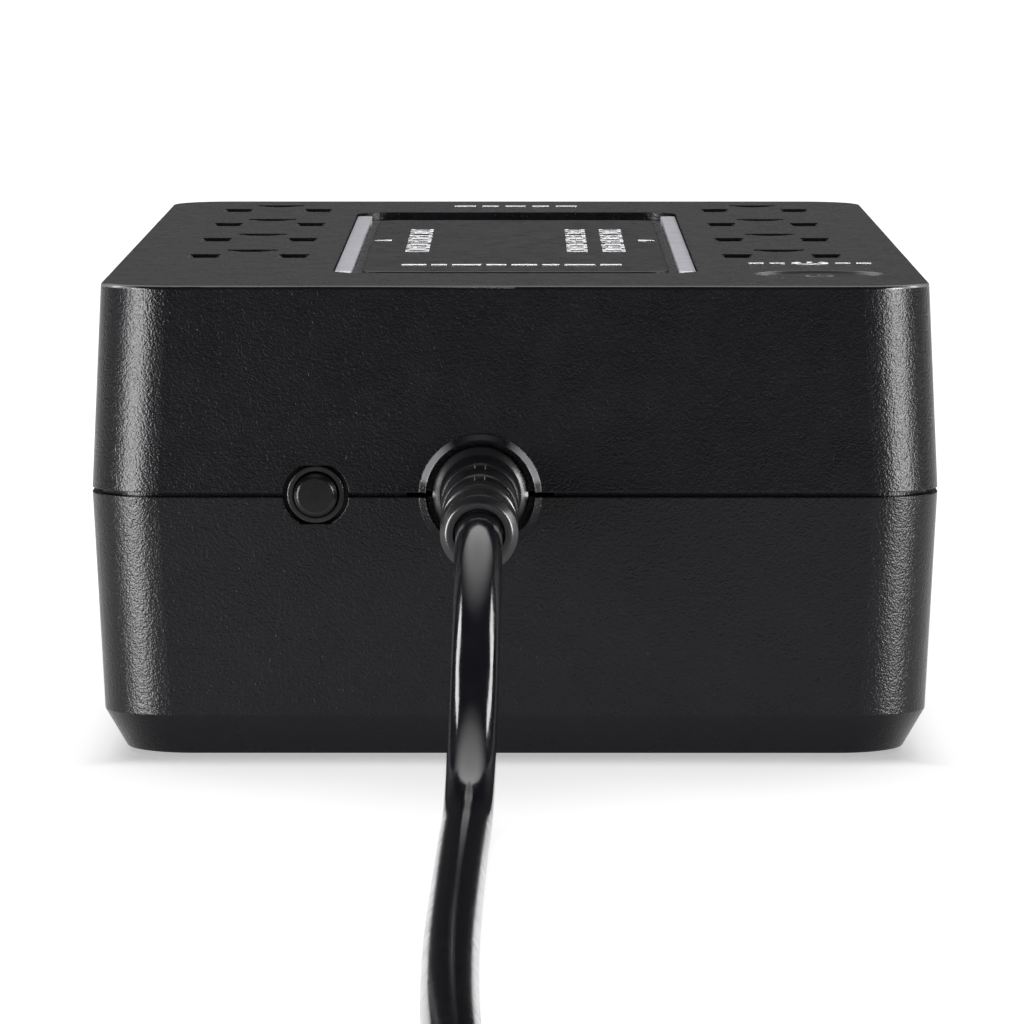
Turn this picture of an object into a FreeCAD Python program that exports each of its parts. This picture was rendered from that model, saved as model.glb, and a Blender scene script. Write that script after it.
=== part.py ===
"""A compact desktop uninterruptible power supply, modelled as the pieces it comes apart into.

The case is two moulded shells that meet at a seam. Eight outlets, a button and a vented centre
panel are in the top, the mains cord and a circuit breaker come out of the front seam, and the
battery, the circuit board and the outlet contacts are inside.

Millimetres. X is to the right, Y to the back and Z up. The origin is the middle of the case at
the surface it stands on, and the cord leaves towards -Y.
"""
import FreeCAD, Part
import math
import operator
import os

import Sketcher
from FreeCAD import Placement, Rotation, Vector

doc = FreeCAD.newDocument("UninterruptiblePowerSupply")

# ---------------------------------------------------------------------------------------------
# Driving sizes, kept in a spreadsheet. Heights are above the surface the case stands on.
# ---------------------------------------------------------------------------------------------
SIZES = {
    # Case: its outline at the seam, and how far other levels stand inside that outline
    "case_width": 113.7,
    "case_length": 205.6,
    "case_height": 63.7,
    "corner_radius": 9.3,
    "seam_height": 35.9,
    "seam_gap": 0.65,
    "top_inset": 1.2,
    "plinth_inset": 1.45,
    "base_inset": 4.3,
    "plinth_height": 6.1,
    "wall": 2.4,
    "top_thickness": 2.5,
    "floor_thickness": 2.4,
    "top_edge_radius": 0.5,
    "base_edge_radius": 0.3,
    "lip_thickness": 1.0,
    "lip_height": 2.4,
    "lip_root": 3.2,
    "fit": 0.15,
    # Feet
    "foot_radius": 6.0,
    "foot_depth": 1.0,
    "foot_proud": 0.6,
    "foot_side": 40.0,
    "foot_end": 82.0,
    # Screws that join the two shells
    "front_screw_side": 45.0,
    "front_screw_back": 10.8,
    "rear_screw_side": 20.0,
    "rear_screw_back": 9.5,
    "screw_radius": 1.45,
    "screw_clearance": 0.25,
    "screw_grip": 11.0,
    "screw_head_radius": 2.8,
    "screw_head_height": 2.0,
    "screw_seat_height": 20.0,
    "post_radius": 4.2,
    "boss_radius": 3.4,
    "thread_gap": 0.05,
    "seat_gap": 0.05,
    # Outlets: two columns of four
    "column_side": 38.0,
    "first_outlet": 64.0,
    "outlet_pitch": 38.0,
    "blade_pitch": 12.7,
    "blade_slot_width": 2.4,
    "blade_slot_length": 8.4,
    "ground_offset": 11.9,
    "ground_hole_width": 5.4,
    "slot_mouth": 1.0,
    "block_width": 21.2,
    "block_height": 15.9,
    "block_front": 6.4,
    "block_back": 21.8,
    "guide_depth": 8.0,
    "chamber_width": 4.6,
    "chamber_length": 9.0,
    "strip_thickness": 0.8,
    "strip_width": 5.6,
    "contact_thickness": 0.5,
    "contact_length": 6.8,
    "contact_height": 7.2,
    "blade_thickness": 1.5,
    "ground_grip": 4.3,
    "ground_contact_length": 4.0,
    "block_screw_radius": 1.2,
    "block_screw_head": 2.3,
    "block_screw_inset": 3.0,
    "small_screw_head": 2.4,
    "small_screw_head_height": 1.4,
    "small_screw_grip": 6.0,
    # Centre panel, the recess it lies in, its trims and vents
    "recess_half_width": 25.1,
    "recess_front": 27.1,
    "recess_length": 145.6,
    "recess_depth": 1.2,
    "recess_radius": 5.0,
    "panel_half_width": 21.3,
    "panel_gap_front": 5.6,
    "panel_gap_back": 18.6,
    "panel_radius": 3.2,
    "panel_sink": 0.15,
    "trim_width": 2.2,
    "trim_length": 131.0,
    "trim_start": 34.4,
    "trim_sink": 0.2,
    "vent_count": 8,
    "vent_width": 2.7,
    "vent_length": 13.0,
    "vent_pitch": 4.9,
    "vent_mouth": 0.4,
    # Power button
    "button_side": 41.55,
    "button_back": 25.8,
    "button_half_width": 7.2,
    "button_half_length": 5.4,
    "button_gap": 0.3,
    "button_flange": 1.1,
    "button_flange_height": 1.0,
    "button_sink": 0.3,
    "dish_half_width": 8.9,
    "dish_half_length": 7.1,
    "dish_depth": 1.3,
    "button_travel": 1.5,
    "switch_gap": 3.6,
    "switch_post_radius": 2.6,
    "switch_post_side": 11.0,
    "switch_post_spread": 6.5,
    "board_thickness": 1.6,
    "switch_side": 8.5,
    "switch_height": 7.0,
    "plunger_side": 3.4,
    # Mains cord: where it leaves, its collar in the seam, its strain relief
    "cord_side": 4.6,
    "cord_radius": 3.1,
    "collar_radius": 7.25,
    "collar_land": 0.1,
    "collar_bevel": 0.8,
    "collar_depth": 1.9,
    "cord_block_width": 19.0,
    "cord_block_depth": 3.6,
    "flange_radius": 6.4,
    "flange_thickness": 1.3,
    "flange_sink": 0.5,
    "neck_radius": 4.5,
    "boot_length": 28.0,
    "boot_root_radius": 5.3,
    "boot_tip_radius": 4.8,
    "boot_collar_radius": 5.1,
    "boot_collar_length": 3.4,
    "boot_droop": 5.0,
    # Circuit breaker
    "breaker_side": 26.55,
    "breaker_hole_width": 8.8,
    "breaker_hole_height": 7.8,
    "bushing_radius": 3.8,
    "bushing_sink": 0.4,
    "reset_radius": 2.9,
    "reset_clearance": 0.2,
    "reset_proud": 1.2,
    "reset_travel": 2.8,
    "breaker_width": 14.0,
    "breaker_height": 16.0,
    "breaker_length": 25.0,
    # Battery and its place
    "battery_length": 151.0,
    "battery_width": 94.0,
    "battery_height": 34.0,
    "battery_front": 39.8,
    "battery_shift": 3.0,
    "battery_play": 0.5,
    "pad_thickness": 1.0,
    "rib_thickness": 1.4,
    "rib_height": 17.0,
    # Main board, hung from the top
    "board_width": 48.0,
    "board_length": 120.0,
    "board_front": 44.8,
    "board_clearance": 3.0,
    "board_post_radius": 3.0,
    "board_post_inset": 4.0,
    # Coil that the spare cord is wound into, and the plug
    "coil_side": 45.2,
    "coil_front": 327.2,
    "coil_outer_turn": 44.6,
    "coil_inner_turn": 28.6,
    "coil_layers": 2,
    "plug_distance": 38.0,
    "plug_width": 26.0,
    "plug_height": 24.0,
    "plug_corner": 4.0,
    "plug_length": 30.0,
    "plug_boot_length": 18.0,
    "plug_blade_rise": 5.0,
    "plug_blade_width": 6.35,
    "plug_blade_length": 18.0,
    "plug_pin_radius": 2.38,
    "plug_pin_length": 21.0,
    # Wires inside
    "wire_radius": 1.1,
    "lead_radius": 1.4,
}

sheet = doc.addObject("Spreadsheet::Sheet", "Sizes")
for row, (alias, size) in enumerate(SIZES.items(), start=1):
    sheet.set(f"A{row}", alias)
    sheet.set(f"B{row}", str(size))
    sheet.setAlias(f"B{row}", alias)
doc.recompute()

OPERATIONS = {"+": operator.add, "-": operator.sub, "*": operator.mul, "/": operator.truediv}


class Size:
    """A size with its value now and its formula in the sheet's names."""

    def __init__(self, value, text):
        self.value = value
        self.text = text

    def __add__(self, other):
        return combined(self, "+", other)

    def __radd__(self, other):
        return combined(other, "+", self)

    def __sub__(self, other):
        return combined(self, "-", other)

    def __rsub__(self, other):
        return combined(other, "-", self)

    def __mul__(self, other):
        return combined(self, "*", other)

    def __rmul__(self, other):
        return combined(other, "*", self)

    def __truediv__(self, other):
        return combined(self, "/", other)

    def __neg__(self):
        return combined(0, "-", self)


def as_size(number):
    if isinstance(number, Size):
        return number
    return Size(float(number), f"({float(number)!r})")


def combined(left, sign, right):
    left, right = as_size(left), as_size(right)
    value = OPERATIONS[sign](left.value, right.value)
    return Size(value, f"({left.text} {sign} {right.text})")


class Sheet:
    """The sheet's sizes by name."""

    def __getattr__(self, name):
        return Size(float(SIZES[name]), f"Sizes.{name}")


S = Sheet()


def bind(thing, sizes):
    """Tie properties of a document object to formulas of the sheet's sizes."""
    for path, size in sizes.items():
        thing.setExpression(path, as_size(size).text)


def place(thing, x, y, z):
    bind(thing, {"Placement.Base.x": x, "Placement.Base.y": y, "Placement.Base.z": z})
    return thing


def span(middle, extent):
    """The low and high ends of an extent about its middle."""
    return middle - extent / 2, middle + extent / 2


# ---------------------------------------------------------------------------------------------
# Solids: primitives take a (low, high) pair along each axis they reach along
# ---------------------------------------------------------------------------------------------
def box(label, x, y, z):
    block = doc.addObject("Part::Box", label)
    bind(block, {"Length": x[1] - x[0], "Width": y[1] - y[0], "Height": z[1] - z[0]})
    return place(block, x[0], y[0], z[0])


TURN_TO = {
    "x": Rotation(Vector(0, 1, 0), 90),
    "y": Rotation(Vector(1, 0, 0), -90),
    "z": Rotation(),
}


def lay_along(thing, x, y, z):
    """Turn a solid made along Z to the axis that is given as a pair, and return its length."""
    axis, reach = next((a, r) for a, r in zip("xyz", (x, y, z)) if isinstance(r, tuple))
    thing.Placement = Placement(Vector(), TURN_TO[axis])
    place(thing, *(r[0] if isinstance(r, tuple) else r for r in (x, y, z)))
    return reach[1] - reach[0]


def cylinder(label, radius, x, y, z):
    bar = doc.addObject("Part::Cylinder", label)
    bind(bar, {"Height": lay_along(bar, x, y, z), "Radius": radius})
    return bar


def cone(label, first_radius, last_radius, x, y, z):
    taper = doc.addObject("Part::Cone", label)
    height = lay_along(taper, x, y, z)
    bind(taper, {"Height": height, "Radius1": first_radius, "Radius2": last_radius})
    return taper


def funnel(label, width, length, mouth, x, y, z):
    """A lead-in, width by length at its foot and wider by mouth to each side at its top."""
    wedge = doc.addObject("Part::Wedge", label)
    wedge.Placement = Placement(Vector(), Rotation(Vector(1, 0, 0), 90))
    bind(wedge, {"Ymin": 0, "Ymax": z[1] - z[0]})
    for end, half_width in (("", width / 2), ("2", width / 2 + mouth)):
        bind(wedge, {f"X{end}min": -half_width, f"X{end}max": half_width})
        bind(wedge, {f"Z{end}min": -length / 2, f"Z{end}max": length / 2})
    return place(wedge, x, y, z[0])


def ellipse_plate(label, half_width, half_length, x, y, z):
    ellipse = doc.addObject("Part::Ellipse", label + "_outline")
    bind(ellipse, {"MajorRadius": half_width, "MinorRadius": half_length})
    place(ellipse, x, y, z[0])
    plate = doc.addObject("Part::Extrusion", label)
    plate.Base = ellipse
    plate.DirMode = "Custom"
    plate.Dir = Vector(0, 0, 1)
    plate.Solid = True
    bind(plate, {"LengthFwd": z[1] - z[0]})
    return plate


def fuse(label, *pieces):
    joined = doc.addObject("Part::MultiFuse", label)
    joined.Shapes = list(pieces)
    return joined


def cut(label, base, *tools):
    remaining = doc.addObject("Part::Cut", label)
    remaining.Base = base
    remaining.Tool = tools[0] if len(tools) == 1 else fuse(label + "_cutter", *tools)
    return remaining


def group(label, *solids):
    """Separate solids that are one kind of piece."""
    together = doc.addObject("Part::Compound", label)
    together.Links = list(solids)
    return together


# ---------------------------------------------------------------------------------------------
# Sketched bodies
# ---------------------------------------------------------------------------------------------
def new_body(label):
    return doc.addObject("PartDesign::Body", label)


def new_sketch(body, label, plane, height=0):
    """An empty sketch on one of the body's own origin planes, raised by height."""
    sketch = body.newObject("Sketcher::SketchObject", label)
    origin_plane = next(f for f in body.Origin.OriginFeatures if f.Role == plane)
    sketch.AttachmentSupport = [(origin_plane, "")]
    sketch.MapMode = "FlatFace"
    bind(sketch, {"AttachmentOffset.Base.z": height})
    return sketch


def name_size(sketch, index, name, size):
    sketch.renameConstraint(index, name)
    bind(sketch, {f"Constraints.{name}": size})


def rounded_rectangle(body, label, width, length, radius, height=0):
    """A centred rectangle with round corners, at a height above the body's XY plane."""
    sketch = new_sketch(body, label, "XY_Plane", height)
    r = radius.value
    side, end = width.value / 2 - r, length.value / 2 - r
    centres = [(side, end), (-side, end), (-side, -end), (side, -end)]
    for quarter, (x, y) in enumerate(centres):
        start, stop = math.pi / 2 * quarter, math.pi / 2 * (quarter + 1)
        circle = Part.Circle(Vector(x, y, 0), Vector(0, 0, 1), r)
        sketch.addGeometry(Part.ArcOfCircle(circle, start, stop))
        to_edge = Vector(math.cos(stop) * r, math.sin(stop) * r, 0)
        next_x, next_y = centres[(quarter + 1) % 4]
        side_line = Part.LineSegment(Vector(x, y, 0) + to_edge, Vector(next_x, next_y, 0) + to_edge)
        sketch.addGeometry(side_line)
    for arc in (0, 2, 4, 6):
        sketch.addConstraint(Sketcher.Constraint("Tangent", arc, 2, arc + 1, 1))
        sketch.addConstraint(Sketcher.Constraint("Tangent", arc + 1, 2, (arc + 2) % 8, 1))
    for line, direction in ((1, "Horizontal"), (5, "Horizontal"), (3, "Vertical"), (7, "Vertical")):
        sketch.addConstraint(Sketcher.Constraint(direction, line))
    for arc in (2, 4, 6):
        sketch.addConstraint(Sketcher.Constraint("Equal", 0, arc))
    sketch.addConstraint(Sketcher.Constraint("Symmetric", 0, 3, 4, 3, -1, 1))
    for name, size, constraint in (
        ("corner", radius, Sketcher.Constraint("Radius", 0, r)),
        ("width", width, Sketcher.Constraint("DistanceX", 3, 1, 7, 1, width.value)),
        ("length", length, Sketcher.Constraint("DistanceY", 5, 1, 1, 1, length.value)),
    ):
        name_size(sketch, sketch.addConstraint(constraint), name, size)
    return sketch


def outline(body, label, plane, points):
    """A closed outline of straight lines through points, each a pair of sizes."""
    sketch = new_sketch(body, label, plane)
    points = [tuple(as_size(number) for number in point) for point in points]
    corners = [Vector(a.value, b.value, 0) for a, b in points]
    for corner, following in zip(corners, corners[1:] + corners[:1]):
        sketch.addGeometry(Part.LineSegment(corner, following))
    for line in range(len(points)):
        sketch.addConstraint(Sketcher.Constraint("Coincident", line, 2, (line + 1) % len(points), 1))
    for line, point in enumerate(points):
        for direction, size in zip(("X", "Y"), point):
            distance = Sketcher.Constraint("Distance" + direction, -1, 1, line, 1, size.value)
            name_size(sketch, sketch.addConstraint(distance), f"corner{line}{direction}", size)
    return sketch


def loft(body, label, kind, sketches):
    feature = body.newObject(f"PartDesign::{kind}Loft", label)
    feature.Profile = sketches[0]
    feature.Sections = [(sketch, [""]) for sketch in sketches[1:]]
    feature.Ruled = True
    return feature


def pad(body, label, sketch, length):
    feature = body.newObject("PartDesign::Pad", label)
    feature.Profile = sketch
    bind(feature, {"Length": length})
    return feature


def revolve(body, label, sketch):
    feature = body.newObject("PartDesign::Revolution", label)
    feature.Profile = sketch
    feature.ReferenceAxis = (sketch, ["V_Axis"])
    feature.Angle = 360
    return feature


def edges_at(feature, height):
    """The names of a feature's edges that lie in the plane at a height."""
    near = 1e-4
    return [
        f"Edge{number}"
        for number, edge in enumerate(feature.Shape.Edges, start=1)
        if abs(edge.BoundBox.ZMin - height.value) < near
        and abs(edge.BoundBox.ZMax - height.value) < near
    ]


def round_edges(body, label, feature, height, radius):
    doc.recompute()
    rounding = body.newObject("PartDesign::Fillet", label)
    rounding.Base = (feature, edges_at(feature, height))
    bind(rounding, {"Radius": radius})
    return rounding


# ---------------------------------------------------------------------------------------------
# Cords and wires: straight runs joined by tangent arcs
# ---------------------------------------------------------------------------------------------
RUN_SHARE = 0.45  # of the shorter run at each corner goes into that corner's arc


def rounded_path(points):
    """The wire along points, and the radius of each of its arcs."""
    edges, radii, start = [], [], points[0]
    for before, corner, after in zip(points, points[1:], points[2:]):
        back, ahead = (before - corner), (after - corner)
        reach = RUN_SHARE * min(back.Length, ahead.Length)
        back.normalize()
        ahead.normalize()
        half_turn = (math.pi - back.getAngle(ahead)) / 2
        radius = reach / math.tan(half_turn)
        middle_line = back + ahead
        middle_line.normalize()
        middle = corner + middle_line * (radius / math.cos(half_turn) - radius)
        entry, leave = corner + back * reach, corner + ahead * reach
        edges.append(Part.LineSegment(start, entry).toShape())
        edges.append(Part.Arc(entry, middle, leave).toShape())
        radii.append(radius)
        start = leave
    edges.append(Part.LineSegment(start, points[-1]).toShape())
    return Part.Wire(edges), radii


def tube(label, points, radius):
    """A round cord or wire along points."""
    path, radii = rounded_path(points)
    section = Part.Wire(Part.makeCircle(radius, points[0], points[1] - points[0]))
    solid = path.makePipeShell([section], True, False)
    expected = math.pi * radius**2 * path.Length
    tightest = min(radii) / (2 * radius) if radii else math.inf
    print(
        f"{label}: {path.Length:.1f} mm long, volume {solid.Volume / expected:.4f} of expected,",
        f"tightest bend {tightest:.1f} diameters, radii {[round(r) for r in radii]}",
    )
    if abs(solid.Volume / expected - 1) > 0.01:
        raise RuntimeError(f"{label} isn't its section times its length")
    feature = doc.addObject("Part::Feature", label)
    feature.Shape = solid
    return feature


# ---------------------------------------------------------------------------------------------
# Places that several pieces share
# ---------------------------------------------------------------------------------------------
FRONT = -S.case_length / 2
BACK = S.case_length / 2
TOP = S.case_height
TOP_UNDERSIDE = TOP - S.top_thickness
UPPER_BOTTOM = S.seam_height + S.seam_gap / 2
LOWER_TOP = S.seam_height - S.seam_gap / 2
BASE = S.foot_proud
FLOOR = BASE + S.floor_thickness
POST_TOP = S.seam_height - 1
OVER = 1  # how far a cutter runs past the face it opens

COLUMNS = (("left", -S.column_side), ("right", S.column_side))
POLES = (("line", -S.blade_pitch / 2), ("neutral", S.blade_pitch / 2))
OUTLET_ROWS = [FRONT + S.first_outlet + S.outlet_pitch * row for row in range(4)]
GROUND_ROWS = [row + S.ground_offset for row in OUTLET_ROWS]
BLOCK_TOP = TOP_UNDERSIDE - 0.1
BLOCK_BOTTOM = BLOCK_TOP - S.block_height
BLOCK_Y = (OUTLET_ROWS[0] - S.block_front, OUTLET_ROWS[3] + S.block_back)
BLOCK_SCREW_ROWS = (BLOCK_Y[0] + S.block_screw_inset, BLOCK_Y[1] - S.block_screw_inset)

RECESS_Y = (FRONT + S.recess_front, FRONT + S.recess_front + S.recess_length)
RECESS_FLOOR = TOP - S.recess_depth
PANEL_Y = (RECESS_Y[0] + S.panel_gap_front, RECESS_Y[1] - S.panel_gap_back)
VENT_Y = span((PANEL_Y[1] + RECESS_Y[1]) / 2, S.vent_length)

BUTTON_Y = FRONT + S.button_back
BUTTON_TOP = TOP - S.button_sink
FLANGE_TOP = TOP_UNDERSIDE - 0.2
FLANGE_BOTTOM = FLANGE_TOP - S.button_flange_height
SWITCH_TOP = FLANGE_BOTTOM - S.switch_gap
SWITCH_BOARD_TOP = SWITCH_TOP - S.switch_height
SWITCH_BOARD_BOTTOM = SWITCH_BOARD_TOP - S.board_thickness

CORD_X = -S.cord_side
COLLAR_FLOOR = FRONT + S.collar_depth
CORD_BLOCK_Y = (COLLAR_FLOOR, COLLAR_FLOOR + S.cord_block_depth)
FLANGE_Y = (FRONT + S.flange_sink, FRONT + S.flange_sink + S.flange_thickness)
BREAKER_X = -S.breaker_side
BREAKER_Y = (FRONT + S.wall + 0.6, FRONT + S.wall + 0.6 + S.breaker_length)
RESET_Y = (FRONT - S.reset_proud, BREAKER_Y[0] + S.reset_travel + 3)

BATTERY_X = span(-S.battery_shift, S.battery_width)
BATTERY_Y = (FRONT + S.battery_front, FRONT + S.battery_front + S.battery_length)
BATTERY_Z = (FLOOR + S.pad_thickness, FLOOR + S.pad_thickness + S.battery_height)
BOARD_Y = (FRONT + S.board_front, FRONT + S.board_front + S.board_length)
BOARD_BOTTOM = BATTERY_Z[1] + S.board_clearance
BOARD_TOP = BOARD_BOTTOM + S.board_thickness
BOARD_POSTS = [
    (side * (S.board_width / 2 - S.board_post_inset), row)
    for side in (-1, 1)
    for row in (BOARD_Y[0] + S.board_post_inset, BOARD_Y[1] - S.board_post_inset)
]
CASE_SCREWS = [
    (side * S.front_screw_side, FRONT + S.front_screw_back) for side in (-1, 1)
] + [(side * S.rear_screw_side, BACK - S.rear_screw_back) for side in (-1, 1)]
SWITCH_POSTS = [
    (S.button_side - S.switch_post_side, y) for y in span(BUTTON_Y, 2 * S.switch_post_spread)
]


# ---------------------------------------------------------------------------------------------
# Case
# ---------------------------------------------------------------------------------------------
def case_outline(body, label, inset, height, radius=None):
    """The case's outline at a height, standing inside the seam's outline by inset."""
    width = S.case_width - 2 * inset
    length = S.case_length - 2 * inset
    return rounded_rectangle(body, label, width, length, radius or S.corner_radius, height)


def upper_shell():
    """The upper case's plain shell, open at the seam, rebated for the lower case's lip."""
    body = new_body("upper_shell")
    inner_radius = S.corner_radius - S.wall
    loft(body, "upper_skin", "Additive", [
        case_outline(body, "upper_seam_outline", 0, UPPER_BOTTOM),
        case_outline(body, "top_outline", S.top_inset, TOP),
    ])
    loft(body, "upper_hollow", "Subtractive", [
        case_outline(body, "upper_hollow_foot", S.wall, UPPER_BOTTOM, inner_radius),
        case_outline(body, "upper_hollow_top", S.top_inset + S.wall, TOP_UNDERSIDE, inner_radius),
    ])
    rebate_inset = S.wall - S.lip_thickness - S.fit
    rebate_radius = S.corner_radius - rebate_inset
    rebate_top = UPPER_BOTTOM + S.lip_height + S.fit
    shell = loft(body, "lip_rebate", "Subtractive", [
        case_outline(body, "rebate_foot", rebate_inset, UPPER_BOTTOM, rebate_radius),
        case_outline(body, "rebate_top", rebate_inset, rebate_top, rebate_radius),
    ])
    round_edges(body, "top_edge", shell, TOP, S.top_edge_radius)
    return body


def lower_shell():
    """The lower case's plain shell with its sloped plinth, open at the seam."""
    body = new_body("lower_shell")
    inner_radius = S.corner_radius - S.wall
    loft(body, "lower_skin", "Additive", [
        case_outline(body, "base_outline", S.base_inset, BASE),
        case_outline(body, "plinth_outline", S.plinth_inset, S.plinth_height),
        case_outline(body, "lower_seam_outline", 0, LOWER_TOP),
    ])
    floor_inset = S.plinth_inset + S.wall + 1
    shell = loft(body, "lower_hollow", "Subtractive", [
        case_outline(body, "hollow_floor", floor_inset, FLOOR, inner_radius),
        case_outline(body, "hollow_plinth", S.plinth_inset + S.wall, S.plinth_height + 1, inner_radius),
        case_outline(body, "hollow_seam", S.wall, LOWER_TOP, inner_radius),
    ])
    round_edges(body, "base_edge", shell, BASE, S.base_edge_radius)
    return body


def seam_lip():
    """The thin lip on the lower case that closes the seam from inside."""
    body = new_body("seam_lip")
    heights = (LOWER_TOP - S.lip_root, UPPER_BOTTOM + S.lip_height)
    for kind, inset in (("Additive", S.wall - S.lip_thickness), ("Subtractive", S.wall)):
        loft(body, f"lip_{kind}", kind, [
            case_outline(body, f"lip_{kind}_{end}", inset, height, S.corner_radius - inset)
            for end, height in zip(("foot", "top"), heights)
        ])
    return body


def slot_cutters(side, middle, row, number):
    """Cutters for one outlet's two blade slots and ground hole, with lead-ins at their sides."""
    through = (TOP_UNDERSIDE - OVER, TOP + OVER)
    lead_in = (TOP - S.slot_mouth, TOP)
    tools = []
    for pole, offset in POLES:
        name = f"{side}_{pole}_slot_{number}"
        x = middle + offset
        tools.append(box(name, span(x, S.blade_slot_width), span(row, S.blade_slot_length), through))
        tools.append(funnel(
            name + "_mouth", S.blade_slot_width, S.blade_slot_length, S.slot_mouth, x, row, lead_in
        ))
    radius = S.ground_hole_width / 2
    ground = row + S.ground_offset
    name = f"{side}_ground_hole_{number}"
    tools.append(ground_cutter(name, middle, ground, S.ground_hole_width, through))
    tools.append(funnel(
        name + "_mouth", S.ground_hole_width, radius, S.slot_mouth,
        middle, ground + radius / 2, lead_in,
    ))
    return tools


def ground_cutter(label, x, y, width, z):
    """A hole that is round towards the blades and square away from them."""
    round_side = cylinder(label + "_round", width / 2, x, y, z)
    square_side = box(label + "_square", span(x, width), (y, y + width / 2), z)
    return fuse(label, round_side, square_side)


def recess_cutter():
    body = new_body("panel_recess")
    sketch = rounded_rectangle(
        body, "recess_outline", S.recess_half_width * 2, S.recess_length, S.recess_radius
    )
    pad(body, "recess_depth_pad", sketch, S.recess_depth + OVER)
    return place(body, 0, (RECESS_Y[0] + RECESS_Y[1]) / 2, RECESS_FLOOR)


def vent_cutters():
    """Cutters for the row of vents, with a small chamfer along each vent's sides."""
    through = (TOP_UNDERSIDE - OVER, TOP)
    mouth = (RECESS_FLOOR - S.vent_mouth, RECESS_FLOOR)
    middle = (SIZES["vent_count"] - 1) / 2
    tools = []
    for number in range(SIZES["vent_count"]):
        x = S.vent_pitch * (number - middle)
        y = (VENT_Y[0] + VENT_Y[1]) / 2
        tools.append(box(f"vent_{number}", span(x, S.vent_width), VENT_Y, through))
        tools.append(funnel(
            f"vent_mouth_{number}", S.vent_width, S.vent_length, S.vent_mouth, x, y, mouth
        ))
    return tools


def collar_ring(part, z):
    """One shell's half of the raised, bevelled ring round the strain relief's pocket."""
    rim = S.collar_radius + S.collar_land + S.collar_bevel
    land = S.collar_radius + S.collar_land
    bevel_y = (FRONT - S.collar_bevel, FRONT)
    root_y = (FRONT, COLLAR_FLOOR)
    ring = doc.addObject("Part::Common", f"{part}_collar_ring")
    ring.Base = fuse(
        f"{part}_collar_disc",
        cone(f"{part}_collar_bevel", land, rim, CORD_X, bevel_y, S.seam_height),
        cylinder(f"{part}_collar_root", rim, CORD_X, root_y, S.seam_height),
    )
    ring.Tool = box(
        f"{part}_collar_half", span(CORD_X, 2 * (rim + OVER)), (FRONT - 2, COLLAR_FLOOR + OVER), z
    )
    return ring


def cord_collar_cutters(part):
    """The round pocket for the strain relief's flange and the hole behind it."""
    centre = (CORD_X, S.seam_height)
    pocket_y = (FRONT - S.collar_bevel - OVER, COLLAR_FLOOR)
    neck_y = (COLLAR_FLOOR - OVER, CORD_BLOCK_Y[1] + OVER)
    neck = S.neck_radius + S.fit
    return [
        cylinder(f"{part}_collar_pocket", S.collar_radius, centre[0], pocket_y, centre[1]),
        cylinder(f"{part}_neck_hole", neck, centre[0], neck_y, centre[1]),
    ]


def breaker_hole(part):
    """A round hole with flats at its top and bottom."""
    through = (FRONT - OVER, BREAKER_Y[0])
    label = f"{part}_breaker_hole"
    hole = doc.addObject("Part::Common", label)
    hole.Base = cylinder(
        label + "_round", S.breaker_hole_width / 2, BREAKER_X, through, S.seam_height
    )
    hole.Tool = box(
        label + "_flats", span(BREAKER_X, S.breaker_hole_width), through,
        span(S.seam_height, S.breaker_hole_height),
    )
    return hole


def cord_block(part, z):
    """The thick pad behind the front wall that grips the strain relief's neck."""
    return box(f"{part}_cord_block", span(CORD_X, S.cord_block_width), CORD_BLOCK_Y, z)


def hung_post(label, radius, screw_radius, x, y, foot, depth):
    """A post from the top plate down to foot, and the pilot hole for the screw up into it."""
    post = cylinder(label, radius, x, y, (foot, TOP_UNDERSIDE + 0.5))
    pilot = cylinder(label + "_pilot", screw_radius + S.thread_gap, x, y, (foot - OVER, foot + depth))
    return post, pilot


def hung_posts():
    """The posts for the case screws, both boards and the outlet blocks."""
    small_screw, small_depth = S.block_screw_radius, S.small_screw_grip + OVER
    posts = [
        hung_post(
            f"upper_boss_{number}", S.boss_radius, S.screw_radius,
            x, y, POST_TOP + 4 * S.seat_gap, S.screw_grip + OVER,
        )
        for number, (x, y) in enumerate(CASE_SCREWS)
    ]
    for board, radius, places, top in (
        ("board", S.board_post_radius, BOARD_POSTS, BOARD_TOP),
        ("switch", S.switch_post_radius, SWITCH_POSTS, SWITCH_BOARD_TOP),
    ):
        for number, (x, y) in enumerate(places):
            label = f"{board}_post_{number}"
            posts.append(hung_post(label, radius, small_screw, x, y, top + S.seat_gap, small_depth))
    for side, middle in COLUMNS:
        for number, y in enumerate(BLOCK_SCREW_ROWS):
            label = f"{side}_block_boss_{number}"
            foot = BLOCK_TOP - S.small_screw_grip
            posts.append(
                hung_post(label, S.block_screw_head, small_screw, middle, y, foot, small_depth - 2)
            )
    return posts


def upper_case():
    posts = hung_posts()
    cord_pad = cord_block("upper", (UPPER_BOTTOM, S.seam_height + S.cord_block_width / 2))
    ring = collar_ring("upper", (UPPER_BOTTOM, TOP_UNDERSIDE))
    additions = [upper_shell(), cord_pad, ring, *(post for post, _ in posts)]
    cutters = [
        recess_cutter(),
        *vent_cutters(),
        *cord_collar_cutters("upper"),
        breaker_hole("upper"),
        *(pilot for _, pilot in posts),
        *button_cutters(),
    ]
    for side, middle in COLUMNS:
        for number, row in enumerate(OUTLET_ROWS):
            cutters.extend(slot_cutters(side, middle, row, number))
    return cut("upper_case", fuse("upper_case_body", *additions), *cutters)


def ellipse_outline(label, half_width, half_length, height):
    ellipse = doc.addObject("Part::Ellipse", label)
    bind(ellipse, {"MajorRadius": half_width, "MinorRadius": half_length})
    return place(ellipse, S.button_side, BUTTON_Y, height)


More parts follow.
